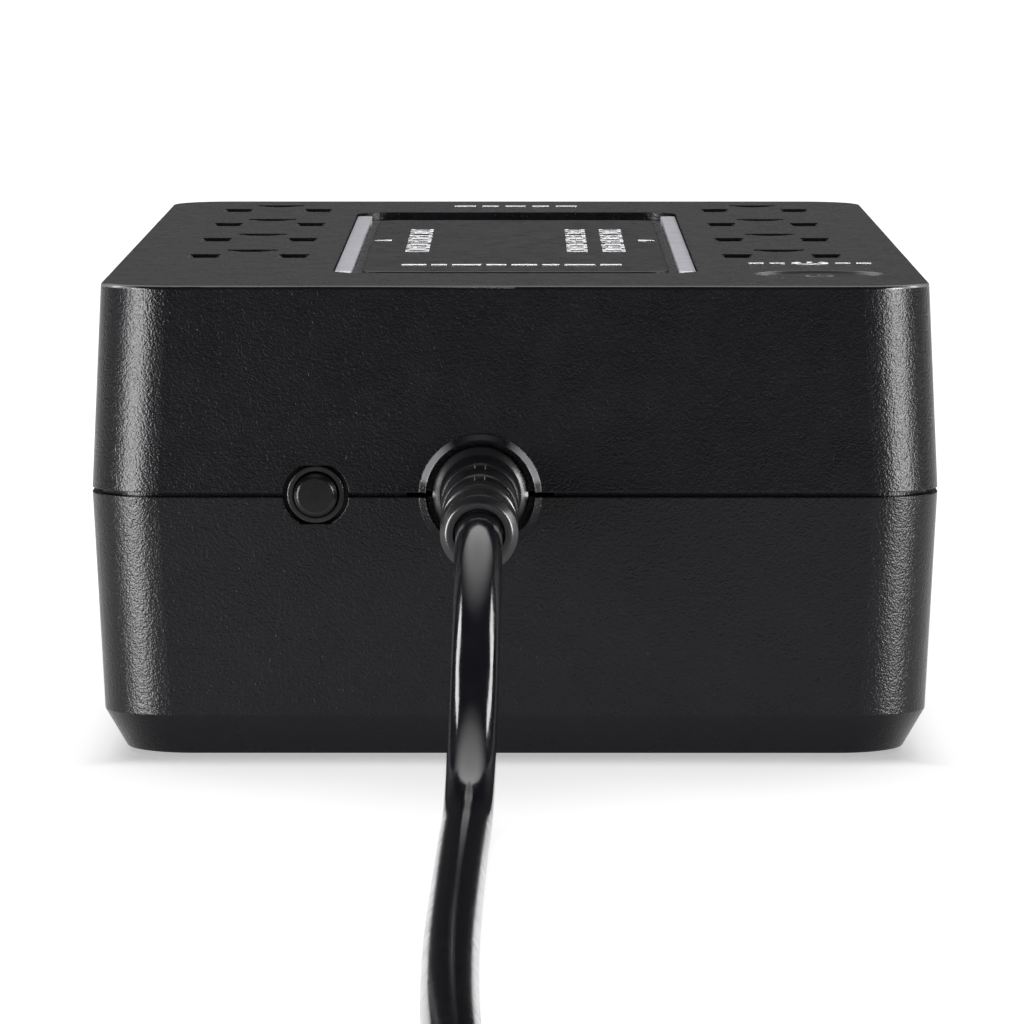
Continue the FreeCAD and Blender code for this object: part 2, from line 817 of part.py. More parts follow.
def button_cutters():
    """The dished surround of the power button and the hole that guides it."""
    rim = ellipse_outline("dish_rim", S.dish_half_width, S.dish_half_length, TOP + 0.01)
    well_width = S.button_half_width + S.button_gap
    well_length = S.button_half_length + S.button_gap
    foot = ellipse_outline("dish_foot", well_width + 0.1, well_length + 0.1, TOP - S.dish_depth)
    dish = doc.addObject("Part::Loft", "button_dish")
    dish.Sections = [foot, rim]
    dish.Solid = True
    through = (TOP_UNDERSIDE - OVER, TOP)
    well = ellipse_plate("button_well", well_width, well_length, S.button_side, BUTTON_Y, through)
    return [dish, well]


def battery_ribs():
    """Ribs on the floor that hold the battery on its four sides."""
    top = FLOOR + S.rib_height
    z = (FLOOR - OVER, top)
    x_low, x_high = BATTERY_X[0] - S.battery_play, BATTERY_X[1] + S.battery_play
    y_low, y_high = BATTERY_Y[0] - S.battery_play, BATTERY_Y[1] + S.battery_play
    thick = S.rib_thickness
    ribs = [box("battery_rib_front", (x_low + 10, x_high - 10), (y_low - thick, y_low), z)]
    for number, y in enumerate((y_low + 25, y_high - 25)):
        ribs.append(box(f"battery_rib_left_{number}", (x_low - thick, x_low), span(y, 20), z))
        ribs.append(box(f"battery_rib_right_{number}", (x_high, x_high + thick), span(y, 20), z))
    for number, x in enumerate((x_low + 20, x_high - 20)):
        ribs.append(box(f"battery_rib_back_{number}", span(x, 16), (y_high, y_high + thick), z))
    return ribs


def breaker_cradle():
    """Two ribs that hold the breaker's body from its sides."""
    z = (FLOOR - OVER, S.seam_height - 1.5)
    y = (BREAKER_Y[0] + 3, BREAKER_Y[1] - 5)
    outer = S.breaker_width / 2 + S.fit
    return [
        box("breaker_rib_left", (BREAKER_X - outer - S.rib_thickness, BREAKER_X - outer), y, z),
        box("breaker_rib_right", (BREAKER_X + outer, BREAKER_X + outer + S.rib_thickness), y, z),
    ]


def lower_case():
    lip_gap_x = span(CORD_X, S.cord_block_width + 4 * S.fit)
    lip_gap = box("lip_gap", lip_gap_x, (FRONT, CORD_BLOCK_Y[1]), (LOWER_TOP, TOP))
    additions = [
        lower_shell(),
        cut("lip_with_gap", seam_lip(), lip_gap),
        cord_block("lower", (S.seam_height - S.cord_block_width / 2, LOWER_TOP)),
        collar_ring("lower", (FLOOR, LOWER_TOP)),
        *battery_ribs(),
        *breaker_cradle(),
    ]
    cutters = [*cord_collar_cutters("lower"), breaker_hole("lower")]
    for number, (x, y) in enumerate(CASE_SCREWS):
        post_z = (BASE + S.floor_thickness / 2, POST_TOP)
        additions.append(cylinder(f"lower_post_{number}", S.post_radius, x, y, post_z))
        hole = S.screw_radius + S.screw_clearance
        cutters.append(cylinder(f"post_hole_{number}", hole, x, y, (BASE - OVER, POST_TOP + OVER)))
        bore = S.screw_head_radius + S.screw_clearance
        cutters.append(cylinder(f"post_bore_{number}", bore, x, y, (BASE - OVER, S.screw_seat_height)))
    for number, (x, y) in enumerate(foot_places()):
        pocket = (BASE - OVER, S.foot_depth)
        cutters.append(cylinder(f"foot_pocket_{number}", S.foot_radius + S.fit, x, y, pocket))
    return cut("lower_case", fuse("lower_case_body", *additions), *cutters)


def foot_places():
    return [(side * S.foot_side, end * S.foot_end) for side in (-1, 1) for end in (-1, 1)]


def rubber_feet():
    feet = [
        cylinder(f"foot_{number}", S.foot_radius, x, y, (as_size(0), S.foot_depth))
        for number, (x, y) in enumerate(foot_places())
    ]
    return group("rubber_feet", *feet)


def screw(label, x, y, head_z, tip, shank_radius, head_radius):
    """A screw that points up: its head fills head_z and its shank ends at tip."""
    shank = cylinder(label + "_shank", shank_radius, x, y, (head_z[1] - 0.2, tip))
    head = cylinder(label + "_head", head_radius, x, y, head_z)
    drive_z = (head_z[0] - OVER, head_z[0] + 0.8)
    drive = box(label + "_slot", span(x, head_radius * 1.5), span(y, 0.8), drive_z)
    return cut(label, fuse(label + "_blank", shank, head), drive)


def case_screws():
    head_z = (S.screw_seat_height - S.screw_head_height, S.screw_seat_height)
    tip = POST_TOP + S.screw_grip
    return group("case_screws", *[
        screw(f"case_screw_{number}", x, y, head_z, tip, S.screw_radius, S.screw_head_radius)
        for number, (x, y) in enumerate(CASE_SCREWS)
    ])


# ---------------------------------------------------------------------------------------------
# Top: centre panel, trims and button
# ---------------------------------------------------------------------------------------------
def centre_panel():
    body = new_body("centre_panel")
    length = PANEL_Y[1] - PANEL_Y[0]
    sketch = rounded_rectangle(body, "panel_outline", S.panel_half_width * 2, length, S.panel_radius)
    thickness = TOP - S.panel_sink - RECESS_FLOOR
    slab = pad(body, "panel_slab", sketch, thickness)
    round_edges(body, "panel_edge", slab, thickness, as_size(0.3))
    return place(body, 0, (PANEL_Y[0] + PANEL_Y[1]) / 2, RECESS_FLOOR)


def trim_strip(side, sign):
    """A bright trim along one side of the recess, with a half-round back end."""
    outer = sign * (S.recess_half_width - 0.2)
    inner = outer - sign * S.trim_width
    x = (inner, outer) if sign > 0 else (outer, inner)
    start = FRONT + S.trim_start
    radius = S.trim_width / 2
    z = (RECESS_FLOOR, TOP - S.trim_sink)
    straight = box(f"{side}_trim_bar", x, (start, start + S.trim_length - radius), z)
    end = cylinder(f"{side}_trim_end", radius, (x[0] + x[1]) / 2, start + S.trim_length - radius, z)
    return fuse(f"{side}_trim_strip", straight, end)


def power_button():
    x, y = S.button_side, BUTTON_Y
    cap = ellipse_plate(
        "button_cap", S.button_half_width, S.button_half_length, x, y, (FLANGE_BOTTOM, BUTTON_TOP)
    )
    flange = ellipse_plate(
        "button_flange_plate", S.button_half_width + S.button_flange,
        S.button_half_length + S.button_flange, x, y, (FLANGE_BOTTOM, FLANGE_TOP),
    )
    return fuse("power_button", cap, flange)


def switch_plunger():
    side = S.plunger_side
    z = (SWITCH_TOP - 3, FLANGE_BOTTOM)
    return box("switch_plunger", span(S.button_side, side), span(BUTTON_Y, side), z)


def power_switch():
    x, y = S.button_side, BUTTON_Y
    side = S.switch_side
    housing = box("switch_housing", span(x, side), span(y, side), (SWITCH_BOARD_TOP, SWITCH_TOP))
    hole_side = S.plunger_side + 0.6
    hole_z = (SWITCH_TOP - 3 - S.button_travel - 0.5, SWITCH_TOP + OVER)
    hole = box("switch_hole", span(x, hole_side), span(y, hole_side), hole_z)
    return cut("power_switch", housing, hole)


def switch_board():
    z = (SWITCH_BOARD_BOTTOM, SWITCH_BOARD_TOP)
    x = (SWITCH_POSTS[0][0] - 3, S.button_side + 6)
    board = box("switch_board_blank", x, span(BUTTON_Y, 19), z)
    holes = [
        cylinder(f"switch_board_hole_{number}", as_size(1.5), px, py, (z[0] - OVER, z[1] + OVER))
        for number, (px, py) in enumerate(SWITCH_POSTS)
    ]
    return cut("switch_board", board, *holes)


def status_light():
    """The lamp beside the switch that shines through the button."""
    x, y = S.button_side, BUTTON_Y + S.switch_side / 2 + 2.6
    stem = cylinder("light_stem", as_size(1.5), x, y, (SWITCH_BOARD_TOP, SWITCH_BOARD_TOP + 4))
    rim = cylinder("light_rim", as_size(1.8), x, y, (SWITCH_BOARD_TOP, SWITCH_BOARD_TOP + 1))
    dome = doc.addObject("Part::Sphere", "light_dome")
    bind(dome, {"Radius": 1.5})
    place(dome, x, y, SWITCH_BOARD_TOP + 4)
    return fuse("status_light", stem, rim, dome)


# ---------------------------------------------------------------------------------------------
# Outlets
# ---------------------------------------------------------------------------------------------
def outlet_block(side, middle):
    """The insulating block under a column of outlets, with a chamber for every contact."""
    block_z = (BLOCK_BOTTOM, BLOCK_TOP)
    blank = box(f"{side}_block_blank", span(middle, S.block_width), BLOCK_Y, block_z)
    chamber_top = BLOCK_TOP - S.guide_depth
    through = (BLOCK_BOTTOM - OVER, BLOCK_TOP + OVER)
    chamber_z = (BLOCK_BOTTOM - OVER, chamber_top)
    tools = []
    for number, row in enumerate(OUTLET_ROWS):
        for pole, offset in POLES:
            name = f"{side}_{pole}_chamber_{number}"
            x = middle + offset
            guide = (span(x, S.blade_slot_width + 0.2), span(row, S.blade_slot_length + 0.2))
            tools.append(box(name + "_guide", *guide, through))
            tools.append(box(name, span(x, S.chamber_width), span(row, S.chamber_length), chamber_z))
        ground = row + S.ground_offset
        width = S.ground_hole_width + 0.2
        tools.append(ground_cutter(f"{side}_ground_guide_{number}", middle, ground, width, through))
        name = f"{side}_ground_chamber_{number}"
        tools.append(box(name, span(middle, width + 0.4), span(ground, width), chamber_z))
    for number, y in enumerate(BLOCK_SCREW_ROWS):
        name = f"{side}_block_screw_hole_{number}"
        socket = (BLOCK_TOP - S.small_screw_grip - 0.2, BLOCK_TOP + OVER)
        tools.append(cylinder(name, S.block_screw_radius + 0.2, middle, y, through))
        tools.append(cylinder(name + "_socket", S.block_screw_head + 0.2, middle, y, socket))
    return cut(f"{side}_outlet_block", blank, *tools)


def contact_strip(side, pole, x, rows, grip, length):
    """A metal strip under the block with a pair of spring leaves up into each chamber."""
    top = BLOCK_BOTTOM - 0.2
    z = (top - S.strip_thickness, top)
    reach = (rows[0] - S.contact_length / 2 - 2, rows[-1] + S.contact_length / 2 + 1)
    label = f"{side}_{pole}_strip"
    pieces = [box(label + "_bar", span(x, S.strip_width), reach, z)]
    leaf_z = (z[0], top + S.contact_height)
    for number, row in enumerate(rows):
        for leaf, offset in (("near", -grip / 2 - S.contact_thickness), ("far", grip / 2)):
            leaf_x = (x + offset, x + offset + S.contact_thickness)
            pieces.append(box(f"{label}_{leaf}_leaf_{number}", leaf_x, span(row, length), leaf_z))
    return fuse(label, *pieces)


def contact_strips(side, middle):
    blades = (S.blade_thickness, S.contact_length)
    ground = (S.ground_grip, S.ground_contact_length)
    return [
        contact_strip(side, pole, middle + offset, OUTLET_ROWS, *blades) for pole, offset in POLES
    ] + [contact_strip(side, "ground", middle, GROUND_ROWS, *ground)]


def outlet_block_screws():
    head_z = (BLOCK_BOTTOM - 1.6, BLOCK_BOTTOM)
    return group("outlet_block_screws", *[
        screw(
            f"{side}_block_screw_{number}", middle, y, head_z, BLOCK_TOP - 2,
            S.block_screw_radius, S.block_screw_head,
        )
        for side, middle in COLUMNS
        for number, y in enumerate(BLOCK_SCREW_ROWS)
    ])


# ---------------------------------------------------------------------------------------------
# Main board and what is soldered to it
# ---------------------------------------------------------------------------------------------
def main_board():
    z = (BOARD_BOTTOM, BOARD_TOP)
    blank = box("board_blank", span(as_size(0), S.board_width), BOARD_Y, z)
    holes = [
        cylinder(f"board_hole_{number}", as_size(1.6), x, y, (z[0] - OVER, z[1] + OVER))
        for number, (x, y) in enumerate(BOARD_POSTS)
    ]
    return cut("main_board", blank, *holes)


def board_screws():
    """The screws that hold both boards to their posts."""
    pieces = []
    for board, places, bottom, top in (
        ("board", BOARD_POSTS, BOARD_BOTTOM, BOARD_TOP),
        ("switch", SWITCH_POSTS, SWITCH_BOARD_BOTTOM, SWITCH_BOARD_TOP),
    ):
        head_z = (bottom - S.small_screw_head_height, bottom)
        tip = top + S.small_screw_grip
        for number, (x, y) in enumerate(places):
            label = f"{board}_screw_{number}"
            sizes = (S.block_screw_radius, S.small_screw_head)
            pieces.append(screw(label, x, y, head_z, tip, *sizes))
    return group("board_screws", *pieces)


def on_board(x_low, x_high, y_low, y_high, height, lift=0.0):
    """Extents of a block on the main board: y is from the board's front edge."""
    x = (as_size(x_low), as_size(x_high))
    y = (BOARD_Y[0] + y_low, BOARD_Y[0] + y_high)
    return x, y, (BOARD_TOP + lift, BOARD_TOP + lift + height)


def transformer():
    """A ferrite core of two E halves, and the winding on its middle leg."""
    bars = (
        ("front_bar", -16, 16, 38, 43),
        ("back_bar", -16, 16, 61, 66),
        ("left_leg", -16, -12, 43, 61),
        ("right_leg", 12, 16, 43, 61),
        ("middle_leg", -4.5, 4.5, 43, 61),
    )
    core = fuse("transformer_core", *[
        box(f"core_{name}", *on_board(*extents, 12, lift=2)) for name, *extents in bars
    ])
    winding = box("winding_blank", *on_board(-11.7, 11.7, 43.2, 60.8, 16))
    leg_hole = box("winding_hole", *on_board(-4.7, 4.7, 42, 62, 12.4, lift=1.8))
    return core, cut("transformer_winding", winding, leg_hole)


def relays():
    return group("transfer_relays", *[
        box(f"relay_{number}", *on_board(x, x + 19, 71, 86.5, 15.3))
        for number, x in enumerate((-21, 2))
    ])


def capacitors():
    places = ((-14, 95), (-14, 107), (-2, 101))
    return group("bulk_capacitors", *[
        upright_on_board(f"capacitor_{number}", 5.2, x, y, 14.5)
        for number, (x, y) in enumerate(places)
    ])


def upright_on_board(label, radius, x, y, height):
    z = (BOARD_TOP, BOARD_TOP + height)
    return cylinder(label, as_size(radius), as_size(x), BOARD_Y[0] + y, z)


def heat_sink():
    """An aluminium extrusion: a back plate with fins towards the outlets."""
    fins = [
        box(f"fin_{number}", *on_board(17, 22, y, y + 1.2, 14.5))
        for number, y in enumerate(range(90, 109, 3))
    ]
    return fuse("heat_sink", box("sink_plate", *on_board(14.5, 17, 89, 110, 14.5)), *fins)


def power_transistors():
    """Three transistors clamped against the heat sink."""
    return group("power_transistors", *[
        box(f"transistor_{number}", *on_board(10, 14.4, y, y + 5.6, 12))
        for number, y in enumerate((89.5, 96.5, 103.5))
    ])


def varistors():
    radius = as_size(4.5)
    x = as_size(-15)
    z = BOARD_TOP + 6.5
    return group("surge_varistors", *[
        cylinder(f"varistor_{number}", radius, x, (BOARD_Y[0] + y, BOARD_Y[0] + y + 4), z)
        for number, y in enumerate((17, 24, 31))
    ])


def filter_choke():
    ring = upright_on_board("choke_ring", 9.5, 1, 26, 6)
    return cut("filter_choke", ring, upright_on_board("choke_middle", 3.5, 1, 26, 7))


def fuse_link():
    x, z = as_size(16), BOARD_TOP + 3.4
    glass_y = (BOARD_Y[0] + 14, BOARD_Y[0] + 32)
    glass = cylinder("fuse_glass", as_size(2.4), x, glass_y, z)
    caps = [
        cylinder("fuse_front_cap", as_size(2.7), x, (glass_y[0] - 1, glass_y[0] + 4), z),
        cylinder("fuse_back_cap", as_size(2.7), x, (glass_y[1] - 4, glass_y[1] + 1), z),
    ]
    return fuse("fuse_link", glass, *caps)


def buzzer():
    drum = upright_on_board("buzzer_drum", 5.5, -13, 10, 7)
    hole = upright_on_board("buzzer_hole", 1, -13, 10, 8)
    return cut("buzzer", drum, hole)


# ---------------------------------------------------------------------------------------------
# Battery
# ---------------------------------------------------------------------------------------------
TERMINAL_ROWS = (12, 44)


def battery():
    """A sealed lead-acid battery on its side, with its terminal side to the right."""
    case = box("battery_case", BATTERY_X, BATTERY_Y, BATTERY_Z)
    rounded = doc.addObject("Part::Fillet", "battery")
    rounded.Base = case
    doc.recompute()
    corners = [
        number for number, edge in enumerate(case.Shape.Edges, start=1)
        if edge.BoundBox.ZLength > BATTERY_Z[1].value - BATTERY_Z[0].value - 1
    ]
    rounded.Edges = [(number, 2.0, 2.0) for number in corners]
    return rounded


def battery_terminals():
    middle = (BATTERY_Z[0] + BATTERY_Z[1]) / 2
    return group("battery_terminals", *[
        box(
            f"terminal_{number}", (BATTERY_X[1], BATTERY_X[1] + 5.6),
            span(BATTERY_Y[0] + row, 4.8), span(middle + 8, 0.8),
        )
        for number, row in enumerate(TERMINAL_ROWS)
    ])


def battery_pad():
    x = (BATTERY_X[0] + 4, BATTERY_X[1] - 4)
    y = (BATTERY_Y[0] + 4, BATTERY_Y[1] - 4)
    return box("battery_pad", x, y, (FLOOR, BATTERY_Z[0]))


# ---------------------------------------------------------------------------------------------
# Circuit breaker
# ---------------------------------------------------------------------------------------------
def breaker():
    """The breaker's housing with its bushing through the seam, its tabs and its button."""
    z = S.seam_height
    bore_radius = S.reset_radius + S.reset_clearance
    bore_y = (FRONT - OVER, RESET_Y[1] + 0.5)
    housing = box(
        "breaker_blank", span(BREAKER_X, S.breaker_width), BREAKER_Y, span(z, S.breaker_height)
    )
    body = cut("breaker_body", housing, cylinder("breaker_bore", bore_radius, BREAKER_X, bore_y, z))
    sleeve_y = (FRONT + S.bushing_sink, BREAKER_Y[0])
    sleeve = cylinder("bushing_blank", S.bushing_radius, BREAKER_X, sleeve_y, z)
    bore = cylinder("bushing_bore", bore_radius, BREAKER_X, bore_y, z)
    bushing = cut("breaker_bushing", sleeve, bore)
    tab_y = (BREAKER_Y[1], BREAKER_Y[1] + 6)
    tabs = group("breaker_tabs", *[
        box(f"breaker_tab_{number}", span(BREAKER_X + step, 0.8), tab_y, span(z, 5))
        for number, step in enumerate((-4, 4))
    ])
    return body, bushing, tabs


def breaker_button():
    """The reset button: a turned pin with a slightly crowned end."""
    body = new_body("breaker_button")
    length = RESET_Y[1] - RESET_Y[0]
    radius = S.reset_radius
    profile = outline(body, "button_profile", "XZ_Plane", [
        (0, 0), (radius, 0), (radius, length - 0.5), (radius - 0.5, length), (0, length),
    ])
    revolve(body, "button_turning", profile)
    body.Placement = Placement(Vector(), Rotation(Vector(1, 0, 0), 90))
    return place(body, BREAKER_X, RESET_Y[1], S.seam_height)


# ---------------------------------------------------------------------------------------------
# Mains cord
# ---------------------------------------------------------------------------------------------
DROOP = math.radians(SIZES["boot_droop"])


def strain_relief():
    """A moulded grommet: two flanges, a neck through the wall, and a boot that droops."""
    x, z = CORD_X, S.seam_height
    inner_y = (CORD_BLOCK_Y[1] + 0.1, CORD_BLOCK_Y[1] + 1.6)
    front_flange = cylinder("front_flange", S.flange_radius, x, FLANGE_Y, z)
    inner_flange = cylinder("inner_flange", S.flange_radius, x, inner_y, z)
    neck = cylinder("relief_neck", S.neck_radius, x, (FLANGE_Y[0], inner_y[1]), z)
    body = new_body("relief_boot")
    shoulder = S.boot_length - S.boot_collar_length
    profile = outline(body, "boot_profile", "XZ_Plane", [
        (0, 0),
        (S.boot_root_radius, 0),
        (S.boot_tip_radius, shoulder),
        (S.boot_collar_radius, shoulder + 0.6),
        (S.boot_collar_radius, S.boot_length),
        (0, S.boot_length),
    ])
    revolve(body, "boot_turning", profile)
    droop = Rotation(Vector(1, 0, 0), 90 + SIZES["boot_droop"])
    body.Placement = Placement(Vector(), droop)
    place(body, x, FLANGE_Y[0], z)
    return fuse("strain_relief", front_flange, inner_flange, neck, body)


def at(x, y, z):
    """A point from sizes or plain numbers."""
    return Vector(*(as_size(number).value for number in (x, y, z)))


def cord_exit():
    along = S.boot_length.value
    return at(CORD_X, FLANGE_Y[0] - along * math.cos(DROOP), S.seam_height - along * math.sin(DROOP))


def coil_entry(height):
    """Where the cord meets the coil's outer turn, on the coil's right-hand side."""
    return at(S.coil_outer_turn - S.coil_side, FRONT - S.coil_front, height)


def cord_route():
    """The cord from its strain relief down to the surface and out to the coil."""
    start = cord_exit()
    rest = S.cord_radius
    ahead = start + Vector(0, -math.cos(DROOP), -math.sin(DROOP)) * 23
    return [
        start,
        ahead,
        at(-5.8, FRONT - 85.5, rest),
        at(-6.4, FRONT - 124, rest),
        at(-6.8, FRONT - 172, rest),
        at(-6.2, FRONT - 222, rest),
        at(-3.6, FRONT - 276, rest),
        coil_entry(rest),
    ]


def cord_coil():
    """The outer shape of the wound cord: a flat ring of turns, two layers high."""
    x, y = -S.coil_side, FRONT - S.coil_front
    z = (as_size(0), S.cord_radius * 2 * S.coil_layers + 0.2)
    through = (z[0] - OVER, z[1] + OVER)
    outer = cylinder("coil_outer", S.coil_outer_turn + S.cord_radius + 0.2, x, y, z)
    inner = cylinder("coil_inner", S.coil_inner_turn - S.cord_radius - 0.2, x, y, through)
    return cut("cord_coil", outer, inner)


PLUG_X = S.coil_outer_turn - S.coil_side
PLUG_BACK = FRONT - S.coil_front - S.plug_distance
PLUG_MIDDLE = S.plug_height / 2


def plug_lead_route():
    top_layer = S.cord_radius * 3 + 0.2
    return [
        coil_entry(top_layer),
        at(PLUG_X + 0.8, PLUG_BACK + 26, top_layer - 0.6),
        at(PLUG_X, PLUG_BACK + 13, PLUG_MIDDLE),
        at(PLUG_X, PLUG_BACK, PLUG_MIDDLE),
    ]


def plug():
    """A moulded plug that lies on its side, with two flat blades and a round earth pin."""
    front = PLUG_BACK - S.plug_boot_length
    face = front - S.plug_length
    boot_y = (front - 2, PLUG_BACK)
    boot = cone(
        "plug_boot", S.cord_radius + 3.4, S.cord_radius + 1, PLUG_X, boot_y, PLUG_MIDDLE
    )
    block_z = (as_size(0), S.plug_height)
    block = box("plug_block", span(PLUG_X, S.plug_width), (face, front), block_z)
    rounded = doc.addObject("Part::Fillet", "plug_block_rounded")
    rounded.Base = block
    corner = SIZES["plug_corner"]
    rounded.Edges = [(number, corner, corner) for number in (2, 4, 6, 8)]
    blade_z = PLUG_MIDDLE + S.plug_blade_rise
    blade_y = (face - S.plug_blade_length, face)
    blades = []
    for pole, offset in POLES:
        x = span(PLUG_X + offset, S.blade_thickness)
        blades.append(box(f"plug_{pole}_blade", x, blade_y, span(blade_z, S.plug_blade_width)))
    pin_y = (face - S.plug_pin_length, face)
    pin_z = blade_z - S.ground_offset
    pin = cylinder("plug_ground_pin", S.plug_pin_radius, PLUG_X, pin_y, pin_z)
    return [fuse("plug_body", rounded, boot), *blades, pin]


# ---------------------------------------------------------------------------------------------
# Wires inside the case
# ---------------------------------------------------------------------------------------------
def inner_wires():
    start_y = CORD_BLOCK_Y[1] + 1.7
    z = S.seam_height
    board_z = BOARD_TOP + S.wire_radius
    board_front = BOARD_Y[0] + 1
    tab_y = BREAKER_Y[1] + 6 + S.wire_radius
    wire, lead = S.wire_radius.value, S.lead_radius.value
    terminal_z = (BATTERY_Z[0] + BATTERY_Z[1]) / 2 + 8.5 + S.lead_radius
    lead_z = BATTERY_Z[1] + S.lead_radius + 0.2
    edge_x = S.board_width / 2 + 0.2
    wires = [
        tube("line_wire", [
            at(CORD_X - 2.4, start_y, z),
            at(CORD_X - 3.6, tab_y - 6, z),
            at(CORD_X - 10, tab_y, z),
            at(BREAKER_X + 4, tab_y, z),
        ], wire),
        tube("neutral_wire", [
            at(CORD_X, start_y, z + 2.4),
            at(CORD_X, start_y + 12, z + 3),
            at(CORD_X + 1, board_front - 6, board_z),
            at(CORD_X + 1, board_front + 2, board_z),
        ], wire),
        tube("ground_wire", [
            at(CORD_X + 2.4, start_y, z),
            at(CORD_X + 4, start_y + 14, z + 1),
            at(CORD_X + 12, board_front - 6, board_z),
            at(CORD_X + 12, board_front + 2, board_z),
        ], wire),
    ]
    for name, row in zip(("negative", "positive"), TERMINAL_ROWS):
        y = BATTERY_Y[0] + row
        side_x = BATTERY_X[1] + 3
        wires.append(tube(f"battery_{name}_lead", [
            at(side_x, y, terminal_z),
            at(side_x, y, lead_z),
            at(side_x - 8, y, lead_z),
            at(side_x - 16, y + 1.5, lead_z),
            at(edge_x, y + 1.5, lead_z),
        ], lead))
    return wires


# ---------------------------------------------------------------------------------------------
# Assembly: every piece, checked and written
# ---------------------------------------------------------------------------------------------
pieces = [
    upper_case(),
    lower_case(),
    rubber_feet(),
    case_screws(),
    centre_panel(),
    trim_strip("left", -1),
    trim_strip("right", 1),
    power_button(),
    switch_plunger(),
    power_switch(),
    switch_board(),
    status_light(),
    outlet_block_screws(),
    main_board(),
    board_screws(),
    *transformer(),
    relays(),
    capacitors(),
    heat_sink(),
    power_transistors(),
    varistors(),
    filter_choke(),
    fuse_link(),
    buzzer(),
    battery(),
    battery_terminals(),
    battery_pad(),
    *breaker(),
    breaker_button(),
    strain_relief(),
    tube("cord_tube", cord_route(), S.cord_radius.value),
    cord_coil(),
    tube("plug_lead", plug_lead_route(), S.cord_radius.value),
    *plug(),
    *inner_wires(),
]
for column_side, column_middle in COLUMNS:
    pieces.append(outlet_block(column_side, column_middle))
    pieces.extend(contact_strips(column_side, column_middle))
doc.recompute()

failed = [thing.Label for thing in doc.Objects if {"Invalid", "Error"} & set(thing.State)]
failed += [piece.Label for piece in pieces if piece.Shape.isNull() or not piece.Shape.isValid()]
if failed:
    raise RuntimeError(f"these didn't build: {failed}")
os.makedirs("parts", exist_ok=True)
for piece in pieces:
    piece.Shape.exportStep(f"parts/{piece.Label}.step")
print(f"{len(pieces)} pieces written")
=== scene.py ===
"""The looks of a compact desktop uninterruptible power supply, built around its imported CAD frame.

Metres, in the frame of the part: X to the right, Y to the back, Z up. MM turns millimetres into
metres. The case stands on the floor at z = 0 and its cord leaves towards -Y.
"""
import math

import bmesh
import bpy
from mathutils import Matrix, Vector


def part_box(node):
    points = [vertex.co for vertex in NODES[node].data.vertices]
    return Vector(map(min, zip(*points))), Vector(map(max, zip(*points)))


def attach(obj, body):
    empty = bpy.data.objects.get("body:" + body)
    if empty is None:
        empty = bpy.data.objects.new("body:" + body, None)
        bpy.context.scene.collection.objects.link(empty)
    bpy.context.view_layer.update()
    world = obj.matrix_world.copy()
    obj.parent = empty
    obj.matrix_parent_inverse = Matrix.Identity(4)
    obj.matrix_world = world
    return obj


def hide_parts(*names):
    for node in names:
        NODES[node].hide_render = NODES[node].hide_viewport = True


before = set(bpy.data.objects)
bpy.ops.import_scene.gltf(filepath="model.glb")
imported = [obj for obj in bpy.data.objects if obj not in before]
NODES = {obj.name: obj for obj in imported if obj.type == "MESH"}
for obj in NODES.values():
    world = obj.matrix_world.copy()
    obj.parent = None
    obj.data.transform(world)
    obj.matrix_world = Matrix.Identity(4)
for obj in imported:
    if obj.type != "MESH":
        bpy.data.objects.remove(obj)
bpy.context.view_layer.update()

MM = 0.001
scene = bpy.context.scene

# ---------------------------------------------------------------------------------------------
# Places read from the frame
# ---------------------------------------------------------------------------------------------
CASE_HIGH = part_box("upper_case")[1]
TOP = CASE_HIGH[2]
FRONT = -CASE_HIGH[1]
PANEL_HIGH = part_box("centre_panel")[1]
BUTTON_LOW, BUTTON_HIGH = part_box("power_button")
BUTTON_MIDDLE = [(low + high) / 2 for low, high in zip(BUTTON_LOW, BUTTON_HIGH)]
RESET_LOW, RESET_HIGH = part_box("breaker_button")
PLUG_LOW, PLUG_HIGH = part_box("plug_body")
COIL_LOW, COIL_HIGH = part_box("cord_coil")
CORD_RADIUS = 3.1 * MM
RELIEF_LOW, RELIEF_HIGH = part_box("strain_relief")
CORD_X = (RELIEF_LOW[0] + RELIEF_HIGH[0]) / 2
SEAM = (RESET_LOW[2] + RESET_HIGH[2]) / 2


# ---------------------------------------------------------------------------------------------
# Node helpers
# ---------------------------------------------------------------------------------------------
def remap(tree, value, source, target, smooth=False):
    """A value taken from the source range to the target range."""
    node = tree.nodes.new("ShaderNodeMapRange")
    if smooth:
        node.interpolation_type = "SMOOTHSTEP"
    node.inputs["From Min"].default_value, node.inputs["From Max"].default_value = source
    node.inputs["To Min"].default_value, node.inputs["To Max"].default_value = target
    tree.links.new(value, node.inputs["Value"])
    return node.outputs["Result"]


def calculate(tree, operation, *values):
    """The result of a Math node, whose values are sockets or constants."""
    node = tree.nodes.new("ShaderNodeMath")
    node.operation = operation
    for socket, value in zip(node.inputs, values):
        if isinstance(value, float):
            socket.default_value = value
        else:
            tree.links.new(value, socket)
    return node.outputs[0]


def split_axes(tree, vector):
    node = tree.nodes.new("ShaderNodeSeparateXYZ")
    tree.links.new(vector, node.inputs[0])
    return node.outputs


def mix_colors(tree, share, first, second):
    """A color between two, which are sockets or red, green and blue."""
    node = tree.nodes.new("ShaderNodeMix")
    node.data_type = "RGBA"
    tree.links.new(share, node.inputs[0])
    for socket, color in zip(node.inputs[6:8], (first, second)):
        if isinstance(color, tuple):
            socket.default_value = (*color, 1)
        else:
            tree.links.new(color, socket)
    return node.outputs[2]


